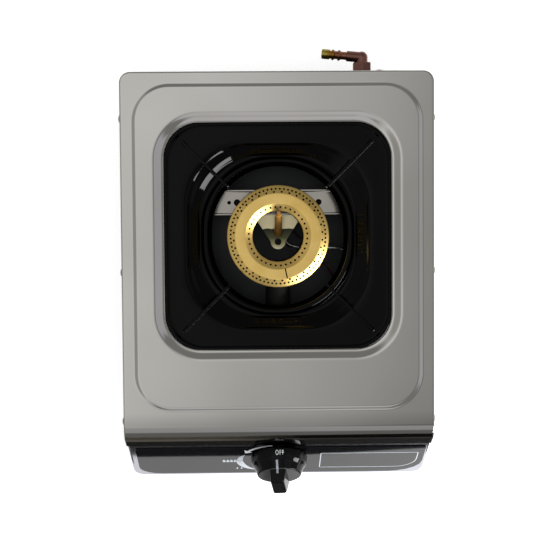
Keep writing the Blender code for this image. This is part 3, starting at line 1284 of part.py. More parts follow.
def build_knob():
    base = KNOB_STANDOFF
    face = base + KNOB_DEPTH
    middle = (face + base + KNOB_DOME_FOOT) / 2
    hub_floor = face - 2 * KNOB_WALL
    profile = [
        (0.0, face), (KNOB_FACE - 2 * GAP, face), (KNOB_FACE + GAP, face - 2 * GAP),
        (KNOB_FACE + 3 * GAP, face - 6 * GAP), ((KNOB_FACE + KNOB_DOME) / 2 + 2 * GAP, middle),
        (KNOB_DOME, base + KNOB_DOME_FOOT),
        (KNOB_SKIRT, base + KNOB_SKIRT_EDGE), (KNOB_SKIRT, base), (KNOB_SKIRT - KNOB_WALL, base),
        (KNOB_DOME - KNOB_WALL, base + KNOB_DOME_FOOT), (KNOB_FACE - KNOB_WALL, face - KNOB_WALL),
        (KNOB_HUB, face - KNOB_WALL), (KNOB_HUB, base + GAP), (SPINDLE_RADIUS + SPINDLE_FIT, base + GAP),
        (SPINDLE_RADIUS + SPINDLE_FIT, hub_floor), (0.0, hub_floor),
    ]
    knob = turned("knob", profile, PLASTIC, KNOB_AXIS, rotation=(0.0, 0.0, KNOB_REST_TURN), steps=32)
    top = face + KNOB_GRIP_REACH
    bottom = top - KNOB_GRIP_REACH - KNOB_GRIP_ROOT
    bm = bmesh.new()
    bmesh.ops.create_cube(bm, size=1.0)
    for vert in bm.verts:
        taper = KNOB_GRIP_TAPER_SHARE if vert.co.z > 0 else 1.0
        vert.co.x = math.copysign(KNOB_GRIP_WIDTH / 2, vert.co.x)
        vert.co.y = math.copysign(taper * KNOB_GRIP_LENGTH / 2, vert.co.y)
        vert.co.z = top if vert.co.z > 0 else bottom
    outer = [e for e in bm.edges if max(v.co.z for v in e.verts) > bottom + GAP]
    round_edges(bm, outer, KNOB_GRIP_EDGE, 2)
    bar = mesh_of("grip", bm, smooth=False)
    boolean(knob, placed_cutter("grip", bar, KNOB_AXIS, rotation=(0.0, 0.0, KNOB_REST_TURN)), 'UNION')
    inner = KNOB_HUB + GAP
    outer_radius = inner + CLIP_THICKNESS
    start = base + 3 * GAP
    end = start + CLIP_LENGTH
    clip_profile = [(outer_radius, end), (outer_radius, start), (inner, start), (inner, end)]
    clip = turned("knob_clip", clip_profile, ZINC, KNOB_AXIS, steps=24, closed=True)
    slot = box_mesh("clip_slot", (0.0, -CLIP_SLOT / 2, start - OVERRUN),
                    (outer_radius + OVERRUN, CLIP_SLOT / 2, end + OVERRUN))
    boolean(clip, placed_cutter("clip_slot", slot, KNOB_AXIS))


# Igniter beside the tap

def igniter_back():
    return tap_front() - IGNITER_FRONT - IGNITER_LENGTH


def build_igniter():
    front = tap_front() - IGNITER_FRONT
    right = -TAP_HALF - GAP
    centre = right - IGNITER_WIDTH / 2
    unit = box_object(
        "igniter_unit", (right - IGNITER_WIDTH, -IGNITER_WIDTH / 2, front - IGNITER_LENGTH),
        (right, IGNITER_WIDTH / 2, front), PLASTIC, KNOB_AXIS, 2 * SHEET)
    bore = rod_mesh("igniter_bore", IGNITER_BORE, front - IGNITER_BORE_DEPTH, front + OVERRUN, 16)
    boolean(unit, placed_cutter("igniter_bore", bore, KNOB_AXIS, (centre, 0.0, 0.0)))
    radius = IGNITER_BORE - HAMMER_CLEARANCE
    top = -HAMMER_INSET
    profile = [
        (0.0, top), (radius * 0.7, top), (radius, top - HAMMER_CLEARANCE), (radius, top - HAMMER_LENGTH),
        (0.0, top - HAMMER_LENGTH),
    ]
    turned("igniter_hammer", profile, ZINC, KNOB_AXIS, (centre, 0.0, front), steps=14)


# Gas inlet at the rear

def build_inlet():
    wall_outside = REAR_TO_BURNER - SHEET - GAP
    wall_inside = wall_outside - SHEET
    washer = SHEET
    seat = wall_outside + GAP + washer + GAP
    elbow_centre = (INLET_X, REAR_TO_BURNER + INLET_BARB_Y, INLET_HEIGHT)
    rearward = (math.radians(-90.0), 0.0, 0.0)

    hexagon = rod_mesh("inlet_elbow", INLET_HEX, seat, seat + INLET_HEX_LENGTH, 6)
    elbow = add_object("inlet_elbow", hexagon, PASSIVATED, None, (INLET_X, 0.0, INLET_HEIGHT), rearward)
    shank = rod_mesh("inlet_shank", INLET_SHANK, wall_inside - INLET_SHANK_INSIDE, seat + GAP, 16)
    boolean(elbow, placed_cutter("inlet_shank", shank, None, (INLET_X, 0.0, INLET_HEIGHT), rearward), 'UNION')
    leg = rod_mesh("inlet_leg", INLET_LEG, seat + INLET_HEX_LENGTH - GAP, elbow_centre[1], 16)
    boolean(elbow, placed_cutter("inlet_leg", leg, None, (INLET_X, 0.0, INLET_HEIGHT), rearward), 'UNION')
    ball = bmesh.new()
    bmesh.ops.create_uvsphere(ball, u_segments=16, v_segments=8, radius=INLET_LEG + GAP / 3)
    boolean(elbow, placed_cutter("inlet_ball", mesh_of("inlet_ball", ball), None, elbow_centre), 'UNION')
    profile = [(0.0, BARB_LENGTH)]
    for along, across in reversed(BARB_RING_SHARES):
        profile.append((BARB_SHOULDER * across, BARB_LENGTH * along))
    profile.append((0.0, 0.0))
    leftward = Matrix.Rotation(-INLET_BARB_TILT, 4, 'Z') @ Matrix.Rotation(math.radians(-90.0), 4, 'Y')
    turn = leftward.to_euler()
    barb = turned("inlet_barb", profile, CUTTER, None, elbow_centre, turn, steps=16)
    boolean(elbow, as_cutter(barb), 'UNION')
    bore = rod_mesh("barb_bore", BARB_BORE, BARB_LENGTH / 2, BARB_LENGTH + OVERRUN, 12)
    boolean(elbow, placed_cutter("barb_bore", bore, None, elbow_centre, turn))
    socket = rod_mesh("pipe_socket", PIPE_RADIUS + GAP, wall_inside - INLET_SHANK_INSIDE - OVERRUN,
                      wall_inside - OVERRUN, 12)
    boolean(elbow, placed_cutter("pipe_socket", socket, None, (INLET_X, 0.0, INLET_HEIGHT), rearward))

    nut_end = wall_inside - GAP
    ring_fit = INLET_SHANK + GAP
    nut = rod_mesh("inlet_locknut", LOCKNUT_HEX, nut_end - LOCKNUT_THICKNESS, nut_end, 6)
    locknut = add_object("inlet_locknut", nut, ZINC, None, (INLET_X, 0.0, INLET_HEIGHT), rearward)
    hole = rod_mesh("nut_hole", ring_fit, nut_end - LOCKNUT_THICKNESS - OVERRUN, nut_end + OVERRUN, 16)
    boolean(locknut, placed_cutter("nut_hole", hole, None, (INLET_X, 0.0, INLET_HEIGHT), rearward))
    ring = [
        (INLET_HEX, wall_outside + GAP + washer), (INLET_HEX, wall_outside + GAP),
        (ring_fit, wall_outside + GAP), (ring_fit, wall_outside + GAP + washer)]
    turned("inlet_washer", ring, RUBBER, None, (INLET_X, 0.0, INLET_HEIGHT), rearward, steps=16, closed=True)


def build_supply_pipe():
    """The steel pipe along the right side, from the inlet's shank to the tap."""
    wall_inside = REAR_TO_BURNER - 2 * SHEET - GAP
    start = wall_inside - OVERRUN - GAP
    depth = tap_front() - TAP_INLET_DEPTH
    end = knob_point(TAP_HALF + 2 * GAP, 0.0, depth)
    beside = knob_point(TAP_HALF + TAP_INLET_REACH + 1.5 * PIPE_RADIUS, 0.0, depth)
    points = [
        (INLET_X, start, INLET_HEIGHT), (INLET_X, start - INLET_SHANK_INSIDE, INLET_HEIGHT),
        *PIPE_ROUTE, beside, end,
    ]
    tube("supply_pipe", points, PIPE_RADIUS, ZINC)


# Screws

def screw_profile(length=SCREW_LENGTH):
    return [
        (0.0, GAP + SCREW_HEAD_HEIGHT), (SCREW_HEAD * 0.5, GAP + SCREW_HEAD_HEIGHT * 0.92),
        (SCREW_HEAD * 0.85, GAP + SCREW_HEAD_HEIGHT * 0.6), (SCREW_HEAD, GAP),
        (SCREW_SHANK, GAP), (SCREW_SHANK, -length), (0.0, -length),
    ]


def add_screw(name, location, rotation, parent=None):
    turned(name, screw_profile(), ZINC, parent, location, rotation, steps=10)


def build_screws():
    height = PLATE_TOP - SIDE_SCREW_DROP
    quarter = math.radians(90.0)
    upwards = (math.radians(180.0), 0.0, 0.0)
    for side, word in ((-1, "left"), (1, "right")):
        sideways = (0.0, side * quarter, 0.0)
        for place, y in zip(("front", "middle", "rear"), SIDE_SCREW_PLACES):
            add_screw(f"side_screw_{word}_{place}", (side * HALF_WIDTH, y, height), sideways)
        wall_point = (side * TRAY_HALF, BRACKET_DISTANCE, bracket_screw_height())
        add_screw(f"bracket_screw_{word}", wall_point, sideways)
        add_screw(f"panel_screw_{word}", (side * PANEL_SCREW_X, panel_screw_y(), PANEL_BOTTOM), upwards)
        under_web = (side * LUG_SPREAD, BRACKET_DISTANCE, BRACKET_WEB_TOP - BRACKET_SHEET)
        add_screw(f"burner_screw_{word}", under_web, upwards)
        add_screw(f"tap_screw_{word}", (side * TAP_SCREW_SPREAD, 0.0, 0.0), (0.0, 0.0, 0.0), KNOB_AXIS)
    add_screw("rear_screw", (REAR_SCREW_X, REAR_TO_BURNER, height), (-quarter, 0.0, 0.0))


def centre_part():
    """Shift the whole part so that the origin lies under the middle of its box."""
    bpy.context.view_layer.update()
    graph = bpy.context.evaluated_depsgraph_get()
    ends = []
    for piece in PARTS.objects:
        if piece.type == 'EMPTY':
            continue
        solid = piece.evaluated_get(graph)
        mesh = solid.to_mesh()
        places = [(solid.matrix_world @ vert.co).y for vert in mesh.vertices]
        solid.to_mesh_clear()
        ends.extend((min(places), max(places)))
    HOB.location.y = -(min(ends) + max(ends)) / 2
    bpy.context.view_layer.update()


SIDE_HOLES = build_side_holes()
TRAY_HOLES = build_tray_holes()
KNOB_HOLES = build_knob_holes()
OVERLAY_HOLE = placed_cutter(
    "overlay_hole", rod_mesh("overlay_hole", OVERLAY_OPENING, -OVERRUN, OVERRUN, 24), KNOB_AXIS)

build_top_plate()
build_base_tray()
build_feet()
build_front_panel()
build_overlay()
build_drip_pan()
build_pan_supports()
build_burner_cap()
build_burner_body()
build_air_shutter()
build_bracket()
build_tongue()
build_pilot_nozzle()
build_electrode()
build_pilot_tube()
build_ignition_lead()
build_tap()
build_spindle_set()
build_jet()
build_knob()
build_igniter()
build_inlet()
build_supply_pipe()
build_screws()
centre_part()
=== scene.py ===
import math

import bmesh
import bpy
from mathutils import Matrix, Vector


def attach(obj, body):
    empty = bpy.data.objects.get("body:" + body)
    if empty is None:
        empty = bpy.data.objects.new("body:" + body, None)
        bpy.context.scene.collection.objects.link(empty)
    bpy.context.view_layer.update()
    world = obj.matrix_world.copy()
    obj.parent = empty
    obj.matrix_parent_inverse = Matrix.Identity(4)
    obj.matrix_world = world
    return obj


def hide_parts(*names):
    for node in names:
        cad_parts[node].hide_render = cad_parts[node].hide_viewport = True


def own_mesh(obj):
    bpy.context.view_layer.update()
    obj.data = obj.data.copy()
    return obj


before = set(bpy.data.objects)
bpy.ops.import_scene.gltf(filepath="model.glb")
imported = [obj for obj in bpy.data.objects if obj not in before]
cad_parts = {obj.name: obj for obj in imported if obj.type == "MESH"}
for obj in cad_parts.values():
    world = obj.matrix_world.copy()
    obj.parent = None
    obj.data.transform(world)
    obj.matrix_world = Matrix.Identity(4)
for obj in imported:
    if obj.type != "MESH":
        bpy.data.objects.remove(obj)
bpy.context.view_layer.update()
burnerY = 0.036323                      # the burner's axis, from the middle of the case
panelLean = 32                          # degrees that the front panel leans back
knobPlace = (0, -0.181624, 0.058)       # where the knob's axis meets the panel
knobFrame = Matrix.Translation(knobPlace) @ Matrix.Rotation(math.radians(90 - panelLean), 4, 'X')
hobFrame = Matrix.Translation((0, burnerY, 0))
print("frame loaded:", len(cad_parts), "nodes")


# selecting and editing

editSizes = {
    "merge": 1e-6,                      # vertices closer than this are one
    "copyMerge": 2e-6,                  # the same for a copied node
    "copyFlat": 0.6,                    # degrees under which a copied node's faces join
    "mostly": 0.7,                      # share of an edge's length that makes it run along an axis
    "level": 0.00005,                   # how far a vertex of a flat may be off its height
    "sharp": 35,                        # degrees over which a copied node's edge is softened
}


def onlyPick(obj):
    bpy.ops.object.select_all(action='DESELECT')
    obj.select_set(True)
    bpy.context.view_layer.objects.active = obj


def startEdit(obj):
    onlyPick(obj)
    bpy.ops.object.mode_set(mode='EDIT')


def endEdit():
    bpy.ops.object.mode_set(mode='OBJECT')


def pickIn(obj, kind, test):
    bpy.ops.mesh.select_mode(type=kind)
    bpy.ops.mesh.select_all(action='DESELECT')
    shape = bmesh.from_edit_mesh(obj.data)
    for item in {'VERT': shape.verts, 'EDGE': shape.edges, 'FACE': shape.faces}[kind]:
        if test(item):
            item.select_set(True)
    shape.select_flush_mode()
    bmesh.update_edit_mesh(obj.data)


def middle(edge):
    return (edge.verts[0].co + edge.verts[1].co) / 2


def runs(edge, axis):
    along = edge.verts[1].co - edge.verts[0].co
    return abs(along[axis]) > editSizes["mostly"] * along.length


def isFlat(v, height):
    return abs(v.co.z - height) < editSizes["level"]


def turnFacesUp(obj):
    # a sheet's largest face has to look up before the sheet is thickened downwards
    widest = max(obj.data.polygons, key=lambda face: abs(face.normal.z) * face.area)
    if widest.normal.z < 0:
        startEdit(obj)
        bpy.ops.mesh.select_all(action='SELECT')
        bpy.ops.mesh.flip_normals()
        endEdit()


def newBox(name, low, high):
    low, high = Vector(low), Vector(high)
    bpy.ops.mesh.primitive_cube_add(size=1, location=(low + high) / 2)
    obj = bpy.context.active_object
    obj.name = name
    obj.scale = high - low
    bpy.ops.object.transform_apply(location=True, rotation=True, scale=True)
    return obj


def newOutline(name, points, place=None):
    bpy.ops.mesh.primitive_circle_add(vertices=len(points), radius=1, fill_type='NGON')
    obj = bpy.context.active_object
    obj.name = name
    for vert, point in zip(obj.data.vertices, points):
        vert.co = point if len(point) == 3 else (*point, 0)
    if place:
        obj.data.transform(place)
    return obj


def applyModifiers(obj):
    onlyPick(obj)
    for modifier in list(obj.modifiers):
        bpy.ops.object.modifier_apply(modifier=modifier.name)


def addModifier(obj, kind, **settings):
    modifier = obj.modifiers.new(kind.lower(), kind)
    for key, value in settings.items():
        setattr(modifier, key, value)
    applyModifiers(obj)


def cutBy(obj, cutter, operation='DIFFERENCE'):
    addModifier(obj, 'BOOLEAN', object=cutter, operation=operation, solver='EXACT')
    bpy.data.objects.remove(cutter, do_unlink=True)


def joinAll(objs, name):
    bpy.ops.object.select_all(action='DESELECT')
    for obj in objs:
        obj.select_set(True)
    bpy.context.view_layer.objects.active = objs[0]
    bpy.ops.object.join()
    objs[0].name = name
    return objs[0]


def spinProfile(name, profile, steps=64, place=None, closed=False):
    # the profile is (radius, height) pairs, spun about the piece's own Z
    bpy.ops.mesh.primitive_plane_add(size=0.01)
    obj = bpy.context.active_object
    obj.name = name
    startEdit(obj)
    bpy.ops.mesh.select_mode(type='VERT')
    bpy.ops.mesh.select_all(action='SELECT')
    bpy.ops.mesh.merge(type='CENTER')
    bpy.ops.transform.translate(value=(profile[0][0], 0, profile[0][1]))
    for before, after in zip(profile, profile[1:]):
        step = (after[0] - before[0], 0, after[1] - before[1])
        bpy.ops.mesh.extrude_region_move(TRANSFORM_OT_translate={"value": step})
    if closed:
        bpy.ops.mesh.select_all(action='SELECT')
        shape = bmesh.from_edit_mesh(obj.data)
        ends = [vert for vert in shape.verts if len(vert.link_edges) == 1]
        shape.edges.new(ends)
        bmesh.update_edit_mesh(obj.data)
    bpy.ops.mesh.select_all(action='SELECT')
    bpy.ops.mesh.spin(steps=steps, angle=math.tau, center=(0, 0, 0), axis=(0, 0, 1))
    bpy.ops.mesh.select_all(action='SELECT')
    bpy.ops.mesh.remove_doubles(threshold=editSizes["merge"])
    bpy.ops.mesh.dissolve_degenerate(threshold=editSizes["merge"])
    bpy.ops.mesh.normals_make_consistent(inside=False)
    endEdit()
    if place:
        obj.data.transform(place)
    return obj


def copyNode(node, name, width=0.0, segments=2):
    # a CAD node's loose triangles merged, tidied into flat faces and softened along the edges
    obj = bpy.data.objects.new(name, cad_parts[node].data.copy())
    bpy.context.scene.collection.objects.link(obj)
    startEdit(obj)
    bpy.ops.mesh.customdata_custom_splitnormals_clear()
    bpy.ops.mesh.select_all(action='SELECT')
    bpy.ops.mesh.remove_doubles(threshold=editSizes["copyMerge"])
    bpy.ops.mesh.dissolve_limited(angle_limit=math.radians(editSizes["copyFlat"]))
    if width:
        bpy.ops.mesh.select_mode(type='EDGE')
        bpy.ops.mesh.select_all(action='DESELECT')
        bpy.ops.mesh.edges_select_sharp(sharpness=math.radians(editSizes["sharp"]))
        bpy.ops.mesh.bevel(offset=width, segments=segments, affect='EDGES', clamp_overlap=True)
    endEdit()
    return obj


def smoothPiece(obj, angle=32):
    onlyPick(obj)
    bpy.ops.object.shade_smooth_by_angle(angle=math.radians(angle))
    obj.modifiers.new("weights", 'WEIGHTED_NORMAL').keep_sharp = True
    applyModifiers(obj)


def finishPiece(obj, material, body, nodes=(), angle=32):
    smoothPiece(obj, angle)
    obj.data.materials.clear()
    obj.data.materials.append(material)
    if nodes:
        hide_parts(*nodes)
    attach(obj, body)


def dressNode(node, material):
    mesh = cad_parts[node].data
    mesh.materials.clear()
    mesh.materials.append(material)


# materials: a pattern's scale is per metre, so 900 is a grain of about 1 mm. The real grains are finer,
# from 0.05 to 0.3 mm, and are drawn this coarse so that they show.

def fromHex(text):
    linear = []
    for start in (0, 2, 4):
        value = int(text[start:start + 2], 16) / 255
        linear.append(value / 12.92 if value <= 0.04045 else ((value + 0.055) / 1.055) ** 2.4)
    return (*linear, 1.0)


def addNode(tree, kind, inputs=None, **settings):
    node = tree.nodes.new(kind)
    for key, value in settings.items():
        setattr(node, key, value)
    for key, value in (inputs or {}).items():
        if isinstance(value, bpy.types.NodeSocket):
            tree.links.new(value, node.inputs[key])
        else:
            node.inputs[key].default_value = value
    return node


def newMaterial(name, **settings):
    material = bpy.data.materials.new(name)
    material.use_nodes = True
    shader = material.node_tree.nodes["Principled BSDF"]
    for key, value in settings.items():
        shader.inputs[key.replace("_", " ")].default_value = value
    coords = addNode(material.node_tree, "ShaderNodeTexCoord").outputs["Object"]
    return material, material.node_tree, shader, coords


def setRamp(ramp, stops):
    elements = ramp.color_ramp.elements
    while len(elements) < len(stops):
        elements.new(0.5)
    for element, (place, colour) in zip(elements, stops):
        element.position = place
        element.color = fromHex(colour)


def roughAndBump(tree, shader, height, low, high, strength, distance):
    spread = addNode(tree, "ShaderNodeMapRange", {"Value": height, "To Min": low, "To Max": high})
    tree.links.new(spread.outputs["Result"], shader.inputs["Roughness"])
    bump = addNode(tree, "ShaderNodeBump", {"Height": height, "Strength": strength, "Distance": distance})
    tree.links.new(bump.outputs["Normal"], shader.inputs["Normal"])


def rolledSteel(name, pale, dark, low, high, stretch=(1, 1, 1)):
    # cold-rolled stainless sheet: near mirror, with faint rolling lines, about 0.1 mm wide where the
    # grain is stretched twelvefold, and a slow drift in tone over about 0.1 m
    material, tree, shader, coords = newMaterial(name, Metallic=1.0)
    lined = addNode(tree, "ShaderNodeMapping", {"Vector": coords, "Scale": stretch}).outputs["Vector"]
    lines = addNode(tree, "ShaderNodeTexNoise", {"Vector": lined, "Scale": 900.0, "Detail": 3.0}).outputs["Fac"]
    clouds = addNode(tree, "ShaderNodeTexNoise", {"Vector": coords, "Scale": 9.0, "Detail": 1.0}).outputs["Fac"]
    mixed = addNode(tree, "ShaderNodeMix", {"Factor": 0.3, "A": lines, "B": clouds}).outputs["Result"]
    ramp = addNode(tree, "ShaderNodeValToRGB", {"Fac": clouds})
    setRamp(ramp, [(0.3, dark), (0.7, pale)])
    tree.links.new(ramp.outputs["Color"], shader.inputs["Base Color"])
    roughAndBump(tree, shader, mixed, low, high, 0.02, 0.0001)
    return material


def glossyEnamel():
    # vitreous enamel fired on steel: black glass skin with a slight orange peel, waves about 4 mm long,
    # and dust specks half a millimetre wide, 6 mm apart
    material, tree, shader, coords = newMaterial("vitreousEnamel", Specular_IOR_Level=0.10)
    peel = addNode(tree, "ShaderNodeTexNoise", {"Vector": coords, "Scale": 260.0, "Detail": 2.0}).outputs["Fac"]
    dust = addNode(tree, "ShaderNodeTexVoronoi", {"Vector": coords, "Scale": 160.0}).outputs["Distance"]
    ramp = addNode(tree, "ShaderNodeValToRGB", {"Fac": dust})
    setRamp(ramp, [(0.02, "0E0E0F"), (0.05, "010101")])
    tree.links.new(ramp.outputs["Color"], shader.inputs["Base Color"])
    roughAndBump(tree, shader, peel, 0.03, 0.07, 0.04, 0.0001)
    return material


def turnedBrass(name, pale, dark, low, high, axis=None):
    # lathe-turned brass: tool rings round the axis, 0.75 mm apart where real ones are 0.2 mm, so that
    # they show, and a little tarnish in clouds of about 20 mm
    material, tree, shader, coords = newMaterial(name, Metallic=1.0)
    own = addNode(tree, "ShaderNodeMapping", {"Vector": coords, "Location": axis or (0, 0, 0)}).outputs["Vector"]
    rings = addNode(
        tree, "ShaderNodeTexWave", {"Vector": own, "Scale": 420.0, "Distortion": 1.5, "Detail": 2.0},
        wave_type='RINGS', rings_direction='Z').outputs["Fac"]
    clouds = addNode(tree, "ShaderNodeTexNoise", {"Vector": coords, "Scale": 55.0, "Detail": 4.0}).outputs["Fac"]
    ramp = addNode(tree, "ShaderNodeValToRGB", {"Fac": clouds})
    setRamp(ramp, [(0.3, dark), (0.68, pale)])
    tree.links.new(ramp.outputs["Color"], shader.inputs["Base Color"])
    mixed = addNode(tree, "ShaderNodeMix", {"Factor": 0.4, "A": clouds, "B": rings}).outputs["Result"]
    roughAndBump(tree, shader, mixed, low, high, 0.05, 0.0001)
    return material, tree, shader, coords, ramp


sootSizes = {"spot": (-0.001, burnerY + 0.026, 0.101), "full": 0.001, "end": 0.007, "share": 0.85}


def capBrass():
    # the cap's brass with soot from the pilot on the inner chamfer at the rear
    material, tree, shader, coords, ramp = turnedBrass(
        "turnedCapBrass", "E8C87A", "DDBA6A", 0.32, 0.44, (0, -burnerY, 0))
    away = addNode(
        tree, "ShaderNodeVectorMath", {0: coords, 1: sootSizes["spot"]}, operation='DISTANCE').outputs["Value"]
    soot = addNode(
        tree, "ShaderNodeMapRange",
        {"Value": away, "From Min": sootSizes["full"], "From Max": sootSizes["end"],
         "To Min": sootSizes["share"], "To Max": 0.0})
    mix = addNode(
        tree, "ShaderNodeMix",
        {"Factor": soot.outputs["Result"], "A": ramp.outputs["Color"], "B": fromHex("3A2A1A")}, data_type='RGBA')
    tree.links.new(mix.outputs["Result"], shader.inputs["Base Color"])
    return material


def plainGrain(name, pale, dark, low, high, grain, strength, **settings):
    # one skin for cast, moulded and rubber pieces: a fine grain that shows in tone, gloss and relief
    material, tree, shader, coords = newMaterial(name, **settings)
    fine = addNode(tree, "ShaderNodeTexNoise", {"Vector": coords, "Scale": grain, "Detail": 5.0}).outputs["Fac"]
    ramp = addNode(tree, "ShaderNodeValToRGB", {"Fac": fine})
    setRamp(ramp, [(0.3, dark), (0.7, pale)])
    tree.links.new(ramp.outputs["Color"], shader.inputs["Base Color"])
    roughAndBump(tree, shader, fine, low, high, strength, 0.0002)
    return material


filmSizes = {"thinAt": 0.046, "thickAt": 0.088, "uneven": 0.7}       # X from the elbow's barb to its nut


def chromatedBrass():
    # yellow chromate on brass: gold that turns to copper red and green where the film is thicker
    material, tree, shader, coords = newMaterial("chromatedBrass", Metallic=1.0)
    film = addNode(
        tree, "ShaderNodeTexNoise", {"Vector": coords, "Scale": 85.0, "Detail": 2.0, "Distortion": 0.6}
    ).outputs["Fac"]
    along = addNode(tree, "ShaderNodeSeparateXYZ", {"Vector": coords}).outputs["X"]
    share = addNode(
        tree, "ShaderNodeMapRange",
        {"Value": along, "From Min": filmSizes["thinAt"], "From Max": filmSizes["thickAt"]}).outputs["Result"]
    uneven = addNode(
        tree, "ShaderNodeMath", {0: film, 1: filmSizes["uneven"], 2: share}, operation='MULTIPLY_ADD').outputs[0]
    ramp = addNode(tree, "ShaderNodeValToRGB", {"Fac": uneven})
    setRamp(ramp, [(0.34, "B8B458"), (0.46, "A87C3A"), (0.62, "8A5C36"), (0.80, "966650"), (1.0, "7E5A50")])
    tree.links.new(ramp.outputs["Color"], shader.inputs["Base Color"])
    roughAndBump(tree, shader, film, 0.22, 0.42, 0.1, 0.0002)
    return material


tongueLightSizes = {"reach": 0.0135, "uneven": 0.12}      # half length on the tongue of the painted light and shade


def tongueLightAndShade():
    # plain sheet steel near the flame with painted light: pale above the fold, then a painted olive shade that clears
    # towards the tip
    material, tree, shader, coords = newMaterial("heatTintedSteel", Metallic=0.7)
    along = addNode(tree, "ShaderNodeSeparateXYZ", {"Vector": coords}).outputs["Y"]
    clouds = addNode(tree, "ShaderNodeTexNoise", {"Vector": coords, "Scale": 120.0, "Detail": 4.0}).outputs["Fac"]
    share = addNode(
        tree, "ShaderNodeMapRange",
        {"Value": along, "From Min": burnerY - tongueLightSizes["reach"], "From Max": burnerY + tongueLightSizes["reach"]}
    ).outputs["Result"]
    uneven = addNode(
        tree, "ShaderNodeMath", {0: clouds, 1: tongueLightSizes["uneven"], 2: share}, operation='MULTIPLY_ADD').outputs[0]
    ramp = addNode(tree, "ShaderNodeValToRGB", {"Fac": uneven})
    # painted light and shade: pale lit steel, olive and dark painted shade, and a last bright stop that is a painted
    # highlight
    setRamp(ramp, [(0.08, "E4DCB8"), (0.25, "A39C72"), (0.45, "55553A"), (0.79, "26281E"), (0.81, "EFE5B8")])
    tree.links.new(ramp.outputs["Color"], shader.inputs["Base Color"])
    roughAndBump(tree, shader, clouds, 0.28, 0.42, 0.08, 0.0001)
    return material


def paintedNoseShade(material, along, share):
    # painted shade: the sheet's colour is darkened where it's rolled over the front
    tree = material.node_tree
    tone = tree.nodes["Principled BSDF"].inputs["Base Color"].links[0].from_socket
    coords = addNode(tree, "ShaderNodeTexCoord").outputs["Object"]
    place = addNode(tree, "ShaderNodeSeparateXYZ", {"Vector": coords}).outputs["Y"]
    noseShade = addNode(
        tree, "ShaderNodeMapRange",
        {"Value": place, "From Min": along[0], "From Max": along[1], "To Min": 1.0, "To Max": share}
    ).outputs["Result"]
    scaled = addNode(tree, "ShaderNodeVectorMath", {0: tone, "Scale": noseShade}, operation='SCALE').outputs["Vector"]
    tree.links.new(scaled, tree.nodes["Principled BSDF"].inputs["Base Color"])


satinSheenSizes = {"height": 0.0226, "depth": 0.0006, "fade": 0.0002}     # the satin face with its painted sheen, above the panel


def knobSkin():
    # phenolic moulding: polished black, with a satin face round the grip, rougher there and painted grey as a painted
    # sheen
    material, tree, shader, coords = newMaterial("glossyPhenolic", Specular_IOR_Level=0.12)
    fine = addNode(tree, "ShaderNodeTexNoise", {"Vector": coords, "Scale": 900.0, "Detail": 4.0}).outputs["Fac"]
    faceNormal = knobFrame.to_3x3() @ Vector((0, 0, 1))
    start = (knobFrame @ Vector((0, 0, satinSheenSizes["height"]))).dot(faceNormal)
    end, fade = start + satinSheenSizes["depth"], satinSheenSizes["fade"]
    away = addNode(
        tree, "ShaderNodeVectorMath", {0: coords, 1: faceNormal}, operation='DOT_PRODUCT').outputs["Value"]
    above = addNode(tree, "ShaderNodeMapRange", {"Value": away, "From Min": start, "From Max": start + fade})
    below = addNode(
        tree, "ShaderNodeMapRange",
        {"Value": away, "From Min": end, "From Max": end + fade, "To Min": 1.0, "To Max": 0.0})
    satinAndSheen = addNode(
        tree, "ShaderNodeMath", {0: above.outputs["Result"], 1: below.outputs["Result"]},
        operation='MULTIPLY').outputs[0]
    ramp = addNode(tree, "ShaderNodeValToRGB", {"Fac": satinAndSheen})
    # black, and grey on the satin face as a painted sheen
    setRamp(ramp, [(0.0, "070708"), (1.0, "4C4C4D")])
    tree.links.new(ramp.outputs["Color"], shader.inputs["Base Color"])
    rough = addNode(tree, "ShaderNodeMapRange", {"Value": satinAndSheen, "To Min": 0.07, "To Max": 0.42})
    tree.links.new(rough.outputs["Result"], shader.inputs["Roughness"])
    bump = addNode(tree, "ShaderNodeBump", {"Height": fine, "Strength": 0.03, "Distance": 0.0002})
    tree.links.new(bump.outputs["Normal"], shader.inputs["Normal"])
    return material


plateSteel = rolledSteel("satinStainless", "BBB9B4", "B3B1AB", 0.05, 0.09, (1, 12, 1))
# painted shade on the plate, darker in two steps towards the nose
for along, share in (((-0.133, -0.145), 0.76), ((-0.146, -0.149), 0.80)):
    paintedNoseShade(plateSteel, along, share)
panelSteel = rolledSteel("polishedStainless", "BCBBC4", "AEADB6", 0.08, 0.14, (12, 1, 1))
# galvanised sheet painted dark grey: a painted shade for the dim inside of the case, where the zinc-plated steel
# elsewhere is pale
shadedCaseSteel = rolledSteel("galvanisedSheet", "444546", "363738", 0.34, 0.50)
zincSteel = rolledSteel("zincPlatedSteel", "C4C3BE", "A5A49F", 0.26, 0.40)
darkZinc = plainGrain("blackZinc", "0C0C0E", "070708", 0.35, 0.5, 900.0, 0.05)
bracketSteel = rolledSteel("pressedSteel", "A8A49C", "918D85", 0.12, 0.20, (12, 1, 1))
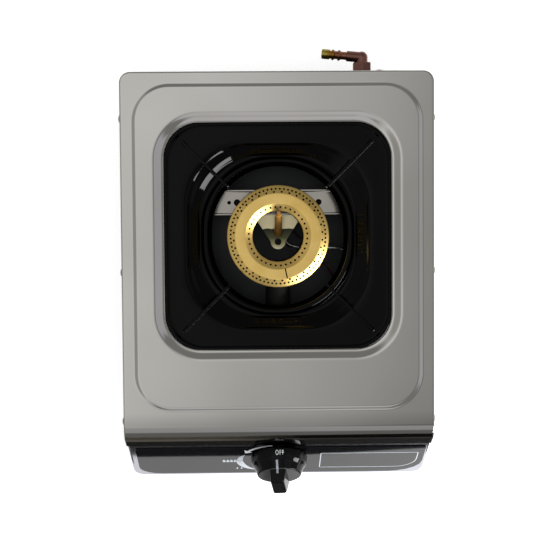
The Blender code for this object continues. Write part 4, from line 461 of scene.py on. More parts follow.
# the tongue's steel carries painted light and shade along it
tongueSteel = tongueLightAndShade()
enamel = glossyEnamel()
brassCap = capBrass()
nozzleBrass = plainGrain("heatedBrass", "E6B766", "C98C3E", 0.26, 0.38, 260.0, 0.05, Metallic=0.6)
jetBrass = turnedBrass("turnedBrass", "D8BC78", "B89650", 0.25, 0.40)[0]
castIron = plainGrain("sandCastIron", "0E0D0C", "080807", 0.60, 0.80, 700.0, 0.35, Specular_IOR_Level=0.15)
knobPlastic = knobSkin()
unitPlastic = plainGrain("mouldedNylon", "1A1A1C", "101012", 0.35, 0.5, 900.0, 0.1)
printGrey = plainGrain("glossyOverlay", "08080A", "050506", 0.04, 0.07, 500.0, 0.015, Specular_IOR_Level=0.25)
printWhite = plainGrain("whitePrintInk", "A8ADB4", "9DA2A9", 0.3, 0.4, 900.0, 0.03)
printBright = plainGrain("brightPrintInk", "F0F2F4", "E2E5E8", 0.3, 0.4, 900.0, 0.03)
printPale = plainGrain("palePrintInk", "9A9EA6", "8F939B", 0.3, 0.4, 900.0, 0.03)
rubber = plainGrain("mouldedRubber", "1E1E1E", "141414", 0.6, 0.8, 900.0, 0.2)
ceramic = plainGrain("glazedSteatite", "EDE9DF", "DDD8CC", 0.2, 0.3, 500.0, 0.05)
leadSilicone = plainGrain("redSilicone", "3C0E0B", "2A0806", 0.35, 0.5, 500.0, 0.08)
castAluminium = plainGrain("dieCastAluminium", "B4B5B8", "9B9CA0", 0.36, 0.5, 500.0, 0.15, Metallic=1.0)
drawnTube = plainGrain("drawnAluminium", "C9C7C2", "AFADA8", 0.22, 0.34, 500.0, 0.04, Metallic=1.0)
inletBrass = chromatedBrass()
print("materials made")


# top plate: a pressed steel cover with a raised field and a square well

plateSizes = {
    "half": 0.150, "rear": 0.157, "nose": -0.193, "top": 0.100, "skirt": 0.018, "sheet": 0.0008,
    "rearCorner": 0.0105, "noseBend": 0.00998, "edgeBend": 0.0016, "rearSteps": 10, "noseSteps": 12, "edgeSteps": 4,
    "fieldHalf": 0.1388, "fieldRear": 0.1458, "fieldFront": -0.1680, "fieldCorner": 0.036, "flat": 0.001,
    "step": 0.0040, "rise": 0.0011, "stepRings": 6,
    "wellOuter": 0.1191, "wellCorner": 0.0453, "wellBevel": 0.0093, "wellDrop": 0.0031, "wellRings": 8,
    "lip": 0.001, "lipWidth": 0.0003, "ledge": 0.008,
    # where open edges are looked for: round the well and the field's rim, and round the outer border
    "wellReach": (0.100, 0.170), "rimAside": 0.09, "rimAlong": 0.12,
}


def roundedPlane(obj, middleAt, width, length, corner, segments=14):
    bpy.ops.mesh.select_mode(type='VERT')
    bpy.ops.mesh.select_all(action='DESELECT')
    bpy.ops.mesh.primitive_plane_add(size=1, location=middleAt)
    bpy.ops.transform.resize(value=(width, length, 1))
    bpy.ops.mesh.bevel(offset=corner, segments=segments, affect='VERTICES')
    pickIn(obj, 'FACE', lambda face: (
        face.normal.z > 0.9 and len(face.verts) == 4 * (segments + 1)
        and (face.calc_center_median() - Vector(middleAt)).length < 0.002))


def sCurve(share):
    return share * share * (3 - 2 * share)


def insetDown(rings, width, depth):
    # the step is an S-curve, so each inset ring falls by its share of the curve
    for index in range(rings):
        fall = sCurve((index + 1) / rings) - sCurve(index / rings)
        bpy.ops.mesh.inset(thickness=width / rings, depth=depth * fall)


def makePlate(s):
    plate = newBox("topPlate", (-s["half"], s["nose"], s["top"] - s["skirt"]), (s["half"], s["rear"], s["top"]))
    startEdit(plate)
    lean = s["skirt"] * math.tan(math.radians(panelLean))
    low = s["top"] - s["skirt"] / 2
    pickIn(plate, 'VERT', lambda v: v.co.y < 0 and v.co.z < low)
    bpy.ops.transform.translate(value=(0, -lean, 0))
    pickIn(plate, 'EDGE', lambda e: runs(e, 2) and middle(e).y > 0)
    bpy.ops.mesh.bevel(offset=s["rearCorner"], segments=s["rearSteps"], affect='EDGES')
    pickIn(plate, 'EDGE', lambda e: runs(e, 0) and middle(e).y < 0 and middle(e).z > low)
    bpy.ops.mesh.bevel(offset=s["noseBend"], segments=s["noseSteps"], affect='EDGES')
    pickIn(plate, 'EDGE', lambda e: (
        len(e.link_faces) == 2 and e.calc_face_angle() > 0.9 and max(v.co.z for v in e.verts) > low))
    bpy.ops.mesh.bevel(offset=s["edgeBend"], segments=s["edgeSteps"], affect='EDGES')
    pickIn(plate, 'FACE', lambda f: f.normal.z < -0.9)
    bpy.ops.mesh.delete(type='FACE')
    pickIn(plate, 'FACE', lambda f: f.normal.z > 0.999 and f.calc_area() > 0.05)
    bpy.ops.mesh.inset(thickness=s["flat"])
    inside = [face for face in bmesh.from_edit_mesh(plate.data).faces if face.select]
    rim = {(round(vert.co.x, 5), round(vert.co.y, 5)) for face in inside for vert in face.verts}
    bpy.ops.mesh.delete(type='ONLY_FACE')
    # a narrow flat ring on each side of a bend keeps the wide flats free of shading from the bend
    flat = s["flat"]
    fieldMiddle = (0, (s["fieldRear"] + s["fieldFront"]) / 2, s["top"])
    fieldLength = s["fieldRear"] - s["fieldFront"]
    roundedPlane(
        plate, fieldMiddle, 2 * (s["fieldHalf"] + flat), fieldLength + 2 * flat, s["fieldCorner"] + flat)
    bpy.ops.mesh.inset(thickness=flat)
    insetDown(s["stepRings"], s["step"], s["rise"])
    bpy.ops.mesh.inset(thickness=flat)
    bpy.ops.mesh.delete(type='ONLY_FACE')
    plateau = s["top"] + s["rise"]
    wellWidth = 2 * (s["wellOuter"] + flat)
    roundedPlane(plate, (0, 0, plateau), wellWidth, wellWidth, s["wellCorner"] + flat)
    bpy.ops.mesh.inset(thickness=flat)
    insetDown(s["wellRings"], s["wellBevel"], -s["wellDrop"])
    bpy.ops.mesh.inset(thickness=s["lipWidth"], depth=-s["lip"])
    bpy.ops.mesh.inset(thickness=s["ledge"], depth=0)
    bpy.ops.mesh.delete(type='ONLY_FACE')
    near, far = s["wellReach"]
    pickIn(plate, 'EDGE', lambda e: (
        len(e.link_faces) == 1 and all(isFlat(v, plateau) for v in e.verts)
        and near < max(abs(middle(e).x), abs(middle(e).y)) < far))
    bpy.ops.mesh.fill(use_beauty=True)
    pickIn(plate, 'EDGE', lambda e: (
        len(e.link_faces) == 1 and all(isFlat(v, s["top"]) for v in e.verts)
        and (all((round(v.co.x, 5), round(v.co.y, 5)) in rim for v in e.verts)
             or abs(middle(e).x) > s["rimAside"] or abs(middle(e).y) > s["rimAlong"])))
    bpy.ops.mesh.fill(use_beauty=True)
    bpy.ops.mesh.select_all(action='SELECT')
    bpy.ops.mesh.normals_make_consistent(inside=False)
    endEdit()
    turnFacesUp(plate)
    plate.data.transform(hobFrame)
    addModifier(plate, 'SOLIDIFY', thickness=s["sheet"], offset=-1, use_even_offset=True)
    finishPiece(plate, plateSteel, "case", ["top_plate"])


makePlate(plateSizes)
print("top plate made")


# drip pan: an enamelled pressing that goes from a rounded square to a round hole

panSizes = {
    "half": 0.1085, "border": 0.0981, "sheet": 0.0008, "cornerSteps": 14,
    # half width, half length, height below the border, corner radius
    "rings": [
        (109.1, 109.1, 0.0, 35.0), (108.7, 108.7, -0.65, 35.0), (108.0, 108.0, -1.15, 35.0),
        (107.3, 107.3, -1.3, 35.0), (106.5, 106.5, -1.15, 35.0), (105.7, 105.7, -0.6, 35.0),
        (105.1, 105.1, -0.1, 35.0), (104.6, 104.7, 0.0, 35.0), (96.0, 96.5, 0.1, 47.0),
        (89.0, 90.1, 0.0, 59.6), (87.3, 88.8, 0.7, 60.0), (85.9, 87.6, 2.5, 61.0), (84.9, 86.7, 3.5, 62.0),
        (84.0, 85.8, 4.15, 62.6), (82.2, 84.1, 5.3, 63.4), (80.9, 82.9, 6.55, 64.0), (79.4, 81.4, 7.75, 62.6),
        (77.9, 79.9, 8.9, 61.2), (76.4, 78.5, 10.02, 59.8), (75.2, 77.5, 10.98, 59.5),
        (74.2, 76.7, 11.2, 66.0), (73.0, 75.6, 9.9, 66.9), (72.1, 74.8, 8.3, 67.2),
        (71.2, 74.0, 7.3, 66.9), (70.0, 73.0, 7.0, 66.4),
        (68.4, 71.6, 7.3, 65.2), (67.0, 70.3, 8.6, 64.2), (65.6, 69.0, 10.6, 63.0), (63.7, 67.2, 13.1, 62.0),
    ],
    "slotStart": 0.1216, "slotLength": 0.0068, "slotWidth": 0.0038, "slotReach": 0.004,
}


def roundedPoints(halfWidth, halfLength, corner, steps, height):
    # a corner stops just short of half the width, so that no two points meet
    points = []
    corner = min(corner, halfWidth - 0.0003)
    for quarter, (sideX, sideY) in enumerate(((1, 1), (-1, 1), (-1, -1), (1, -1))):
        for index in range(steps + 1):
            angle = math.radians(90 * (quarter + index / steps))
            points.append((
                sideX * (halfWidth - corner) + corner * math.cos(angle),
                sideY * (halfLength - corner) + corner * math.sin(angle), height))
    return points


def makePan(s):
    count = 4 * (s["cornerSteps"] + 1)
    bpy.ops.mesh.primitive_circle_add(vertices=count, radius=s["half"])
    pan = bpy.context.active_object
    pan.name = "dripPan"
    startEdit(pan)
    bpy.ops.mesh.select_all(action='SELECT')
    for row, (across, along, drop, corner) in enumerate(s["rings"]):
        # each ring is drawn out a little, and then its vertices are put where they belong
        if row:
            bpy.ops.mesh.extrude_region_move(TRANSFORM_OT_translate={"value": (0, 0, -0.0001)})
        shape = bmesh.from_edit_mesh(pan.data)
        shape.verts.ensure_lookup_table()
        places = roundedPoints(
            across / 1000, along / 1000, corner / 1000, s["cornerSteps"], s["border"] - drop / 1000)
        for vert, place in zip(shape.verts[row * count:(row + 1) * count], places):
            vert.co = place
        bmesh.update_edit_mesh(pan.data)
    bpy.ops.mesh.select_all(action='SELECT')
    bpy.ops.mesh.normals_make_consistent(inside=False)
    endEdit()
    turnFacesUp(pan)
    addModifier(pan, 'SUBSURF', levels=1, render_levels=1)
    addModifier(pan, 'SOLIDIFY', thickness=s["sheet"], offset=-1, use_even_offset=True)
    slots = []
    for quarter in range(4):
        slot = newBox("slot", (s["slotStart"], -s["slotWidth"] / 2, s["border"] - s["slotReach"]),
                      (s["slotStart"] + s["slotLength"], s["slotWidth"] / 2, s["border"] + s["slotReach"]))
        slot.data.transform(Matrix.Rotation(math.radians(45 + 90 * quarter), 4, 'Z'))
        slots.append(slot)
    cutBy(pan, joinAll(slots, "slots"))
    pan.data.transform(hobFrame)
    finishPiece(pan, enamel, "pan", ["drip_pan"], 40)


makePan(panSizes)
for end in ("rear_left", "rear_right", "front_left", "front_right"):
    node = "pan_support_" + end
    support = copyNode(node, "panSupport" + end.title().replace("_", ""), 0.0007, 3)
    finishPiece(support, enamel, "pan", [node])
print("drip pan and supports made")


# burner: brass cap over a cast body

capSizes = {
    "base": 0.0923, "steps": 128,
    "profile": [
        (40.0, 11.7), (40.9, 11.55), (41.8, 11.1), (48.2, 6.8), (48.75, 6.25), (49.0, 5.6), (49.0, 0.35),
        (48.7, 0.0), (46.6, 0.0), (46.6, 5.0), (39.6, 9.3), (32.4, 9.3), (26.8, 5.5), (26.8, 0.0), (24.7, 0.0),
        (24.4, 0.35), (24.4, 6.1), (24.6, 6.8), (25.1, 7.3), (30.9, 11.2), (31.6, 11.6), (32.4, 11.7),
    ],
    # radius of each row of ports and the ports in it
    "rows": [(45.3, 72), (42.4, 36), (28.0, 36)],
    "port": 0.0010, "portSides": 14, "portLength": 0.014, "portMiddle": 0.009,
    "slot": {"turn": -78, "inner": 0.0285, "outer": 0.0415, "width": 0.0012, "low": 0.0085, "high": 0.014},
}


def makeCap(s):
    profile = [(radius / 1000, height / 1000 + s["base"]) for radius, height in s["profile"]]
    cap = spinProfile("burnerCap", profile, s["steps"], closed=True)
    ports = []
    for radius, count in s["rows"]:
        bpy.ops.mesh.primitive_cylinder_add(
            vertices=s["portSides"], radius=s["port"], depth=s["portLength"],
            location=(radius / 1000, 0, s["base"] + s["portMiddle"]))
        first = bpy.context.active_object
        bpy.ops.object.transform_apply(location=True)
        for index in range(count):
            port = bpy.data.objects.new("port", first.data.copy())
            bpy.context.scene.collection.objects.link(port)
            port.data.transform(Matrix.Rotation(math.tau * (index + 0.5) / count, 4, 'Z'))
            ports.append(port)
        bpy.data.objects.remove(first, do_unlink=True)
    groove = s["slot"]
    slot = newBox("flameSlot", (groove["inner"], -groove["width"] / 2, s["base"] + groove["low"]),
                  (groove["outer"], groove["width"] / 2, s["base"] + groove["high"]))
    slot.data.transform(Matrix.Rotation(math.radians(groove["turn"]), 4, 'Z'))
    cutBy(cap, joinAll(ports + [slot], "ports"))
    cap.data.transform(hobFrame)
    finishPiece(cap, brassCap, "cap", ["burner_cap"], 28)


makeCap(capSizes)
bodyCopy = copyNode("burner_body", "burnerBody")
finishPiece(bodyCopy, castIron, "case", ["burner_body"], 40)
print("burner made")


# gas inlet: brass elbow with a ridged hose nozzle

elbowSizes = {
    "place": (0.0855, 0.1553, 0.044), "corner": 0.0204, "tilt": 5.5,
    "hex": {"radius": 0.0098, "length": 0.0130, "middle": 0.0089, "rim": (0.0009, 3), "edge": (0.0004, 2)},
    # (radius, distance rearward) of the leg and of the shank through the wall
    "leg": [(0, 0.0212), (0.0048, 0.0212), (0.0058, 0.0202), (0.0058, 0.0140), (0, 0.0140)],
    "shank": [(0, 0.0030), (0.0065, 0.0030), (0.0065, -0.0172), (0.0060, -0.0177), (0, -0.0177)],
    "knuckle": 0.0059,
    # (distance along the barb, radius)
    "ridges": [
        (0.0, 5.2), (15.0, 5.2), (15.3, 3.9), (20.6, 3.9), (22.2, 5.15), (22.6, 5.3), (23.3, 5.3), (23.7, 5.1),
        (24.2, 4.0), (26.8, 4.0), (28.2, 5.15), (28.6, 5.3), (29.3, 5.3), (29.7, 5.1), (30.2, 4.05), (31.8, 4.1),
        (32.2, 4.7), (32.7, 4.9), (38.6, 4.9), (39.6, 4.7), (40.0, 4.2), (39.9, 2.9), (39.6, 2.6), (24.0, 2.6),
        (23.4, 0.0),
    ],
}


def makeElbow(s):
    x, y, z = s["place"]
    rearward = Matrix.Translation((x, y + burnerY, z)) @ Matrix.Rotation(math.radians(-90), 4, 'X')
    hexagon = s["hex"]
    bpy.ops.mesh.primitive_cylinder_add(
        vertices=6, radius=hexagon["radius"], depth=hexagon["length"], location=(0, 0, hexagon["middle"]))
    nut = bpy.context.active_object
    bpy.ops.object.transform_apply(location=True)
    startEdit(nut)
    for upright, (width, segments) in ((False, hexagon["rim"]), (True, hexagon["edge"])):
        pickIn(nut, 'EDGE', lambda e: runs(e, 2) == upright)
        bpy.ops.mesh.bevel(offset=width, segments=segments, affect='EDGES')
    endEdit()
    nut.data.transform(rearward)
    leg = spinProfile("inletLeg", s["leg"], 48, rearward)
    shank = spinProfile("inletShank", s["shank"], 32, rearward)
    bpy.ops.mesh.primitive_uv_sphere_add(
        segments=48, ring_count=24, radius=s["knuckle"], location=(x, y + burnerY + s["corner"], z))
    knuckle = bpy.context.active_object
    bpy.ops.object.transform_apply(location=True)
    turn = (Matrix.Translation((x, y + burnerY + s["corner"], z))
            @ Matrix.Rotation(math.radians(-s["tilt"]), 4, 'Z') @ Matrix.Rotation(math.radians(-90), 4, 'Y'))
    barb = spinProfile("inletBarb", [(r / 1000, t / 1000) for t, r in s["ridges"]], 64, turn)
    startEdit(barb)
    pickIn(barb, 'EDGE', lambda e: len(e.link_faces) == 1)
    bpy.ops.mesh.fill()
    bpy.ops.mesh.select_all(action='SELECT')
    bpy.ops.mesh.normals_make_consistent(inside=False)
    endEdit()
    elbow = nut
    for other in (leg, shank, knuckle, barb):
        cutBy(elbow, other, 'UNION')
    elbow.name = "inletElbow"
    finishPiece(elbow, inletBrass, "case", ["inlet_elbow"], 30)


makeElbow(elbowSizes)
print("gas inlet made")


# knob: phenolic moulding with a skirt, a dome and a bar grip

knobSizes = {
    "standoff": 0.0042, "rest": 6, "outside": 14,
    # (radius, height): the first fourteen are the outside
    "profile": [
        (0.0, 18.6), (20.0, 18.6), (20.7, 18.5), (21.2, 18.2), (21.6, 17.7), (22.1, 16.2), (23.3, 13.2),
        (24.4, 10.7), (25.4, 9.5), (26.5, 8.2), (27.1, 6.6), (27.5, 4.6), (28.1, 2.9), (28.2, 0.3), (27.9, 0.0),
        (25.9, 0.0), (25.6, 0.3), (24.6, 5.2), (18.5, 16.0), (7.0, 16.0), (7.0, 0.3), (3.35, 0.3), (3.35, 13.4),
        (0.0, 13.4),
    ],
    "grip": {
        "width": 0.0166, "narrow": 0.80, "lean": -0.0017, "aside": 0.0008, "length": 0.041, "low": 0.0213,
        "top": 0.036, "taper": 0.81, "edge": 0.0024, "edgeSteps": 5,
    },
    "text": {"size": 0.0066, "aside": 0.0031, "height": 0.0092, "stretch": 0.62, "space": 1.3, "cuts": 2},
    "mark": {
        "width": 0.0021,
        # (towards the rim, out from the panel)
        "line": [
            (24.2, 15.3), (23.4, 17.2), (22.2, 20.2), (21.6, 21.9), (21.2, 22.4), (20.7, 22.7), (20.0, 22.9),
            (19.05, 27.2),
        ],
    },
    "proud": 0.00006,
}
knobTurned = knobFrame @ Matrix.Rotation(math.radians(knobSizes["rest"]), 4, 'Z')


def makeKnob(s):
    profile = [(radius / 1000, height / 1000 + s["standoff"]) for radius, height in s["profile"]]
    knob = spinProfile("knob", profile, 128, knobTurned)
    g = s["grip"]
    grip = newBox("grip", (-g["width"] / 2, -g["length"] / 2, g["low"]), (g["width"] / 2, g["length"] / 2, g["top"]))
    grip.data.transform(Matrix.Translation((g["aside"], 0, 0)))
    startEdit(grip)
    pickIn(grip, 'FACE', lambda f: f.normal.z > 0.9)
    bpy.ops.transform.resize(value=(g["narrow"], g["taper"], 1))
    bpy.ops.transform.translate(value=(g["lean"], 0, 0))
    pickIn(grip, 'EDGE', lambda e: max(v.co.z for v in e.verts) > (g["low"] + g["top"]) / 2)
    bpy.ops.mesh.bevel(offset=g["edge"], segments=g["edgeSteps"], affect='EDGES')
    endEdit()
    grip.data.transform(knobTurned)
    cutBy(knob, grip, 'UNION')
    finishPiece(knob, knobPlastic, "knob", ["knob"], 30)


def coneRadius(s, height):
    steps = [(r / 1000, h / 1000 + s["standoff"]) for r, h in s["profile"][:s["outside"]]]
    for (upperRadius, upper), (lowerRadius, lower) in zip(steps, steps[1:]):
        if lower <= height <= upper and upper > lower:
            return lowerRadius + (upperRadius - lowerRadius) * (height - lower) / (upper - lower)
    return steps[-1][0]


def makeKnobMarks(s):
    words = s["text"]
    bpy.ops.object.text_add()
    text = bpy.context.active_object
    text.data.body = "OFF"
    text.data.size = words["size"]
    text.data.space_character = words["space"]
    text.data.align_x, text.data.align_y = 'CENTER', 'CENTER'
    bpy.ops.object.convert(target='MESH')
    text.name = "offMark"
    startEdit(text)
    bpy.ops.mesh.select_all(action='SELECT')
    bpy.ops.mesh.remove_doubles(threshold=editSizes["merge"])
    bpy.ops.mesh.subdivide(number_cuts=words["cuts"])
    endEdit()
    for vert in text.data.vertices:
        height = words["height"] - vert.co.y
        radius = coneRadius(s, height) + s["proud"]
        angle = (vert.co.x * words["stretch"] + words["aside"]) / radius
        vert.co = (radius * math.sin(angle), radius * math.cos(angle), height)
    text.data.transform(knobTurned)
    finishPiece(text, printBright, "knob")
    mark = s["mark"]
    bpy.ops.mesh.primitive_grid_add(x_subdivisions=1, y_subdivisions=len(mark["line"]) - 1, size=1)
    line = bpy.context.active_object
    line.name = "indicatorMark"
    for index, vert in enumerate(line.data.vertices):
        up, out = mark["line"][index // 2]
        side = -1 if index % 2 == 0 else 1
        vert.co = (side * mark["width"] / 2, up / 1000 + s["proud"], out / 1000 + s["proud"])
    line.data.transform(knobTurned)
    finishPiece(line, printPale, "knob")


makeKnob(knobSizes)
makeKnobMarks(knobSizes)
print("knob made")


# dial marks on the panel's grey plate

dialSizes = {
    "level": 0.00096, "centre": (0.0, -13.0),
    # across, up and scale of each small flame
    "flames": [
        (-55.0, -16.0, 1.0), (-51.3, -16.0, 1.0), (-47.6, -16.0, 1.0), (-43.9, -16.0, 1.0), (-42.0, -36.5, 0.6),
        (-37.5, -36.5, 0.6),
    ],
    "arrow": {"radius": 37.9, "width": 3.0, "start": 100.0, "end": 144.0, "head": 10.0, "point": 8, "overlap": 1},
    "crescent": {"inner": 36.0, "least": 0.2, "bulge": 6.8, "round": 0.7, "parts": [(159.0, 184.0), (185.6, 230.0)]},
    "frame": {"left": 41.5, "right": 139.5, "top": 3.0, "bottom": -37.0, "corner": 22.0, "small": 2.0, "line": 0.9},
    "flame": {"height": 7.0, "width": 4.08, "pinch": 0.45, "last": 350, "points": 14},
}


def flatPrint(name, points, ink=printWhite):
    shape = newOutline(name, [(x / 1000, y / 1000, dialSizes["level"]) for x, y in points], knobFrame)
    finishPiece(shape, ink, "case")


def onDial(radius, degrees):
    angle = math.radians(degrees)
    x, y = dialSizes["centre"]
    return (x + radius * math.cos(angle), y + radius * math.sin(angle))


def spread(start, end, count=24):
    return [start + (end - start) * index / count for index in range(count + 1)]


def cornered(s):
    left, right, bottom, top = s["left"], s["right"], s["bottom"], s["top"]
    large, small = s["corner"], s["small"]
    points = []
    for centreX, centreY, radius, start in (
        (right - large, bottom + large, large, 270), (right - small, top - small, small, 0),
        (left + small, top - small, small, 90), (left + small, bottom + small, small, 180),
    ):
        for degrees in spread(start, start + 90, 10):
            angle = math.radians(degrees)
            points.append((centreX + radius * math.cos(angle), centreY + radius * math.sin(angle)))
    return points


def makeDial(s):
    arrow = s["arrow"]
    outer = [onDial(arrow["radius"] + arrow["width"] / 2, a) for a in spread(arrow["start"], arrow["end"])]
    inner = [onDial(arrow["radius"] - arrow["width"] / 2, a) for a in spread(arrow["end"], arrow["start"])]
    flatPrint("arrowArc", outer + inner, printBright)
    root = arrow["end"] - arrow["overlap"]
    flatPrint("arrowHead", [
        onDial(arrow["radius"] + arrow["head"] / 2, root), onDial(arrow["radius"], arrow["end"] + arrow["point"]),
        onDial(arrow["radius"] - arrow["head"] / 2, root)], printBright)
    moon = s["crescent"]
    start, end = moon["parts"][0][0], moon["parts"][-1][1]
    for index, (first, last) in enumerate(moon["parts"]):
        bulged = []
        for a in spread(first, last):
            swell = math.sin(math.pi * (a - start) / (end - start)) ** moon["round"]
            bulged.append(onDial(moon["inner"] + moon["least"] + moon["bulge"] * swell, a))
        flatPrint("flameScale" + str(index), bulged + [onDial(moon["inner"], a) for a in spread(last, first)])
    flame = s["flame"]
    for index, (x, y, scale) in enumerate(s["flames"]):
        drop = []
        for degrees in spread(0, flame["last"], flame["points"]):
            angle = math.radians(degrees)
            narrow = math.sqrt(1 - flame["pinch"] * (1 + math.sin(angle)))
            drop.append((x + scale * flame["width"] / 2 * math.cos(angle) * narrow,
                         y + scale * flame["height"] / 2 * math.sin(angle)))
        flatPrint("flameMark" + str(index), drop)
    field = s["frame"]
    line = newOutline("panelFrame", [(x / 1000, y / 1000, s["level"]) for x, y in cornered(field)], knobFrame)
    startEdit(line)
    bpy.ops.mesh.select_all(action='SELECT')
    bpy.ops.mesh.inset(thickness=field["line"] / 1000)
    bpy.ops.mesh.delete(type='FACE')
    endEdit()
    finishPiece(line, printWhite, "case")


makeDial(dialSizes)
print("dial marks made")


# the other nodes

# height on the panel below which the plate is shortened, and by what share
overlaySizes = {"below": -0.030, "lift": 0.15}


def liftLowerEdge(obj, s):
    # the printed plate ends a little higher, so the steel shows as a pale line below it
    back = knobFrame.inverted()
    for vert in obj.data.vertices:
        spot = back @ vert.co
        if spot.y < s["below"]:
            spot.y += s["lift"] * (s["below"] - spot.y)
            vert.co = knobFrame @ spot


for node, width, material, slotName, body in (
    ("base_tray", 0.0, shadedCaseSteel, "zinc_plated_steel", "case"),
    ("front_panel", 0.0, panelSteel, "stainless_steel", "case"),
    ("burner_bracket", 0.0, bracketSteel, "zinc_plated_steel", "case"),
    ("pilot_bracket", 0.0002, tongueSteel, "stainless_steel", "case"),
    ("pilot_nozzle", 0.0, nozzleBrass, "brass", "case"),
    ("panel_overlay", 0.0, printGrey, "grey_overlay", "case"),
    ("inlet_locknut", 0.0004, zincSteel, "zinc_plated_steel", "case"),
    ("pilot_tube", 0.0, drawnTube, "die_cast_aluminium", "case"),
    ("igniter_unit", 0.0, unitPlastic, "black_plastic", "case"),
    ("tap_body", 0.0, castAluminium, "die_cast_aluminium", "case"),
    ("tap_cover", 0.0003, zincSteel, "zinc_plated_steel", "case"),
):
    words = node.split("_")
    piece = copyNode(node, words[0] + "".join(word.title() for word in words[1:]), width)
    if node == "panel_overlay":
        liftLowerEdge(piece, overlaySizes)
    finishPiece(piece, material, body, [node], 60 if node == "pilot_tube" else 32)


# the tap's spring gets a mesh of its own; the real spring shortens as the knob is pushed in
spring = copyNode("tap_spring", "tapSpring")
finishPiece(spring, zincSteel, "case", ["tap_spring"])
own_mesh(spring)


# what is hidden, or too small to model again, only gets its material
dressed = {
    "air_shutter": zincSteel, "push_collar": zincSteel, "knob_clip": zincSteel, "igniter_hammer": zincSteel,
    "supply_pipe": zincSteel, "electrode_pin": zincSteel, "main_jet": jetBrass, "tap_spindle": jetBrass,
    "tap_plug": jetBrass, "inlet_washer": rubber, "electrode_ceramic": ceramic, "ignition_lead": leadSilicone,
}
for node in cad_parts:
    if node in dressed:
        dressNode(node, dressed[node])
    elif node.startswith("side_screw"):
        dressNode(node, darkZinc)
    elif "screw" in node:
        dressNode(node, zincSteel)
    elif node.startswith("foot"):
        dressNode(node, rubber)
print("other nodes dressed")


# floor, felt, sky, lamp and camera

roomSizes = {
    "floor": 6.0, "floorHex": "F4F4F4",
    # the floor's own glow for the camera, and what lights the object without mirroring
    "lift": 0.58, "ambient": 0.75,
    # what mirrors see: a level that changes across and along, and falls off faster towards the front
    "level": 0.80, "across": -1.95, "along": 0.45, "darkest": 0.30, "palest": 0.97, "falls": -0.13, "fall": 1.4,
    # azimuth from +X, elevation, half angles where the card is full and where it ends, colour
    "cards": [
        (180, 25, 28, 50, (0.50, 0.49, 0.48)), (90, 25, 30, 52, (0.30, 0.30, 0.295)),
        (-4, 50, 14, 24, (0.64, 0.625, 0.68)), (-92, 58, 12, 22, (0.78, 0.77, 0.80)),
    ],
    "brownHex": "6A655C", "blackHex": "020202",
    # felt on the floor and up the wall in front: black near the panel, then brown on the left and black
    # on the right
    "feltHeight": 0.002, "wallAt": -0.9, "brownTo": -0.10, "blackFrom": 0.05,
    "nearFelt": [(-0.24, -0.2555), (0.02, -0.2555), (0.12, -0.263), (0.24, -0.272), (0.27, -0.295), (-0.27, -0.295)],
    "farFelt": [(-0.27, -0.295), (0.27, -0.295), (1.0, -0.9), (-1.0, -0.9)],
    "wallFelt": [(-1.0, 0.0), (1.0, 0.0), (1.0, 0.38), (0.16, 0.36), (0.0, 0.33), (-0.05, 0.27), (-1.0, 0.26)],
}


def makeRoom(s):
    bpy.ops.mesh.primitive_plane_add(size=s["floor"], location=(0, 0, 0))
    floor = bpy.context.active_object
    floor.name = "floor"
    material, tree, shader, coords = newMaterial("paleFloor", Roughness=0.9, Base_Color=fromHex(s["floorHex"]))
    ray = addNode(tree, "ShaderNodeLightPath").outputs["Is Camera Ray"]
    lift = addNode(tree, "ShaderNodeMath", {0: ray, 1: s["lift"]}, operation='MULTIPLY').outputs[0]
    glow = addNode(tree, "ShaderNodeEmission", {"Strength": lift}).outputs["Emission"]
    both = addNode(tree, "ShaderNodeAddShader", {0: shader.outputs["BSDF"], 1: glow}).outputs["Shader"]
    tree.links.new(both, tree.nodes["Material Output"].inputs["Surface"])
    floor.data.materials.append(material)
    # only mirrors see the felt, brown on the left and black on the right
    felt, tree, shader, coords = newMaterial("darkFelt", Roughness=1.0)
    across = addNode(tree, "ShaderNodeSeparateXYZ", {"Vector": coords}).outputs["X"]
    share = addNode(
        tree, "ShaderNodeMapRange", {"Value": across, "From Min": s["brownTo"], "From Max": s["blackFrom"]})
    ramp = addNode(tree, "ShaderNodeValToRGB", {"Fac": share.outputs["Result"]})
    setRamp(ramp, [(0.0, s["brownHex"]), (1.0, s["blackHex"])])
    tree.links.new(ramp.outputs["Color"], shader.inputs["Base Color"])
    black = newMaterial("blackFelt", Roughness=1.0, Base_Color=fromHex(s["blackHex"]))[0]
    for name, points, cloth in (
        ("nearFelt", [(x, y, s["feltHeight"]) for x, y in s["nearFelt"]], black),
        ("farFelt", [(x, y, s["feltHeight"]) for x, y in s["farFelt"]], felt),
        ("wallFelt", [(x, s["wallAt"], z) for x, z in s["wallFelt"]], felt),
    ):
        flag = newOutline(name, points)
        flag.data.materials.append(cloth)
        flag.visible_camera = flag.visible_diffuse = flag.visible_shadow = False


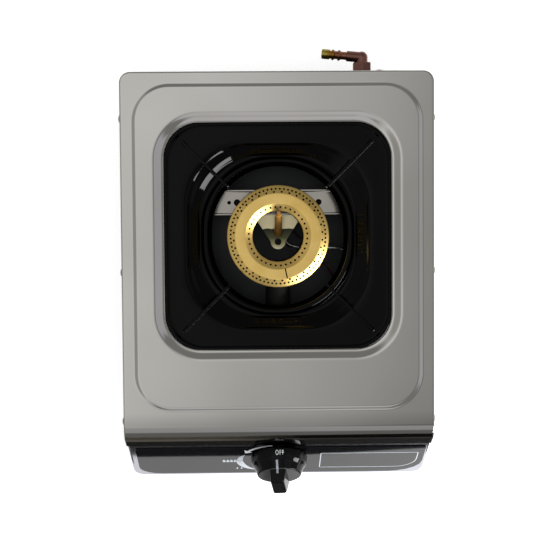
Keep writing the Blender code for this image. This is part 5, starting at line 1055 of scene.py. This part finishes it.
def makeSky(s):
    world = bpy.data.worlds.new("studio")
    bpy.context.scene.world = world
    world.use_nodes = True
    tree = world.node_tree
    path = addNode(tree, "ShaderNodeLightPath")
    seen = addNode(
        tree, "ShaderNodeMath", {0: path.outputs["Is Camera Ray"], 1: path.outputs["Is Transmission Ray"]},
        operation='MAXIMUM').outputs[0]
    looking = addNode(tree, "ShaderNodeTexCoord").outputs["Generated"]
    axes = addNode(tree, "ShaderNodeSeparateXYZ", {"Vector": looking})
    x, y = axes.outputs["X"], axes.outputs["Y"]
    beyond = addNode(tree, "ShaderNodeMath", {0: y, 1: s["falls"]}, operation='SUBTRACT').outputs[0]
    beyond = addNode(tree, "ShaderNodeMath", {0: beyond, 1: 0.0}, operation='MINIMUM').outputs[0]
    tone = s["level"]
    for reach, share in ((x, s["across"]), (y, s["along"]), (beyond, s["fall"])):
        tone = addNode(tree, "ShaderNodeMath", {0: reach, 1: share, 2: tone}, operation='MULTIPLY_ADD').outputs[0]
    tone = addNode(tree, "ShaderNodeClamp", {"Value": tone, "Min": s["darkest"], "Max": s["palest"]}).outputs[0]
    sky = addNode(tree, "ShaderNodeCombineColor", {"Red": tone, "Green": tone, "Blue": tone}).outputs["Color"]
    for azimuth, elevation, full, end, colour in s["cards"]:
        turn, up = math.radians(azimuth), math.radians(elevation)
        aim = (math.cos(up) * math.cos(turn), math.cos(up) * math.sin(turn), math.sin(up))
        near = addNode(
            tree, "ShaderNodeVectorMath", {0: looking, 1: aim}, operation='DOT_PRODUCT').outputs["Value"]
        share = addNode(
            tree, "ShaderNodeMapRange",
            {"Value": near, "From Min": math.cos(math.radians(end)), "From Max": math.cos(math.radians(full))},
            interpolation_type='SMOOTHSTEP').outputs["Result"]
        sky = addNode(
            tree, "ShaderNodeMix", {"Factor": share, "A": sky, "B": (*colour, 1)}, data_type='RGBA').outputs["Result"]
    around = addNode(
        tree, "ShaderNodeMix", {"Factor": path.outputs["Is Glossy Ray"], "A": (s["ambient"],) * 3 + (1,), "B": sky},
        data_type='RGBA').outputs["Result"]
    final = addNode(
        tree, "ShaderNodeMix", {"Factor": seen, "A": around, "B": (1, 1, 1, 1)}, data_type='RGBA').outputs["Result"]
    tree.links.new(final, tree.nodes["Background"].inputs["Color"])


lampSizes = {"place": (0.90, -0.86, 0.43), "aim": (0, 0, 0.1), "size": (0.86, 0.50), "power": 30}


def makeLamp(s):
    bpy.ops.object.light_add(type='AREA', location=s["place"])
    lamp = bpy.context.active_object
    lamp.name = "keyLamp"
    lamp.data.shape = 'RECTANGLE'
    lamp.data.size, lamp.data.size_y = s["size"]
    lamp.data.energy = s["power"]
    lamp.rotation_euler = (Vector(s["place"]) - Vector(s["aim"])).to_track_quat('Z', 'Y').to_euler()


# nearly straight down from 1.3 m, a little left of and behind the burner: turns are in degrees, and the
# focal length and the picture's width in pixels
cameraSizes = {
    "place": (-0.024, 0.0263 + burnerY, 1.301), "turns": [('Z', 0.49), ('Y', 0.99), ('X', 3.02)],
    "sensor": 36, "focal": 1257, "pixels": 550,
}


def makeCamera(s):
    bpy.ops.object.camera_add(location=s["place"])
    camera = bpy.context.active_object
    turn = Matrix.Identity(3)
    for axis, degrees in s["turns"]:
        turn = turn @ Matrix.Rotation(math.radians(degrees), 3, axis)
    camera.rotation_euler = turn.inverted().to_euler()
    camera.data.sensor_width = s["sensor"]
    camera.data.lens = s["focal"] / s["pixels"] * s["sensor"]
    bpy.context.scene.camera = camera


makeRoom(roomSizes)
makeSky(roomSizes)
makeLamp(lampSizes)
makeCamera(cameraSizes)
bpy.context.scene.view_settings.view_transform = 'Standard'
print("room, lamp and camera made")
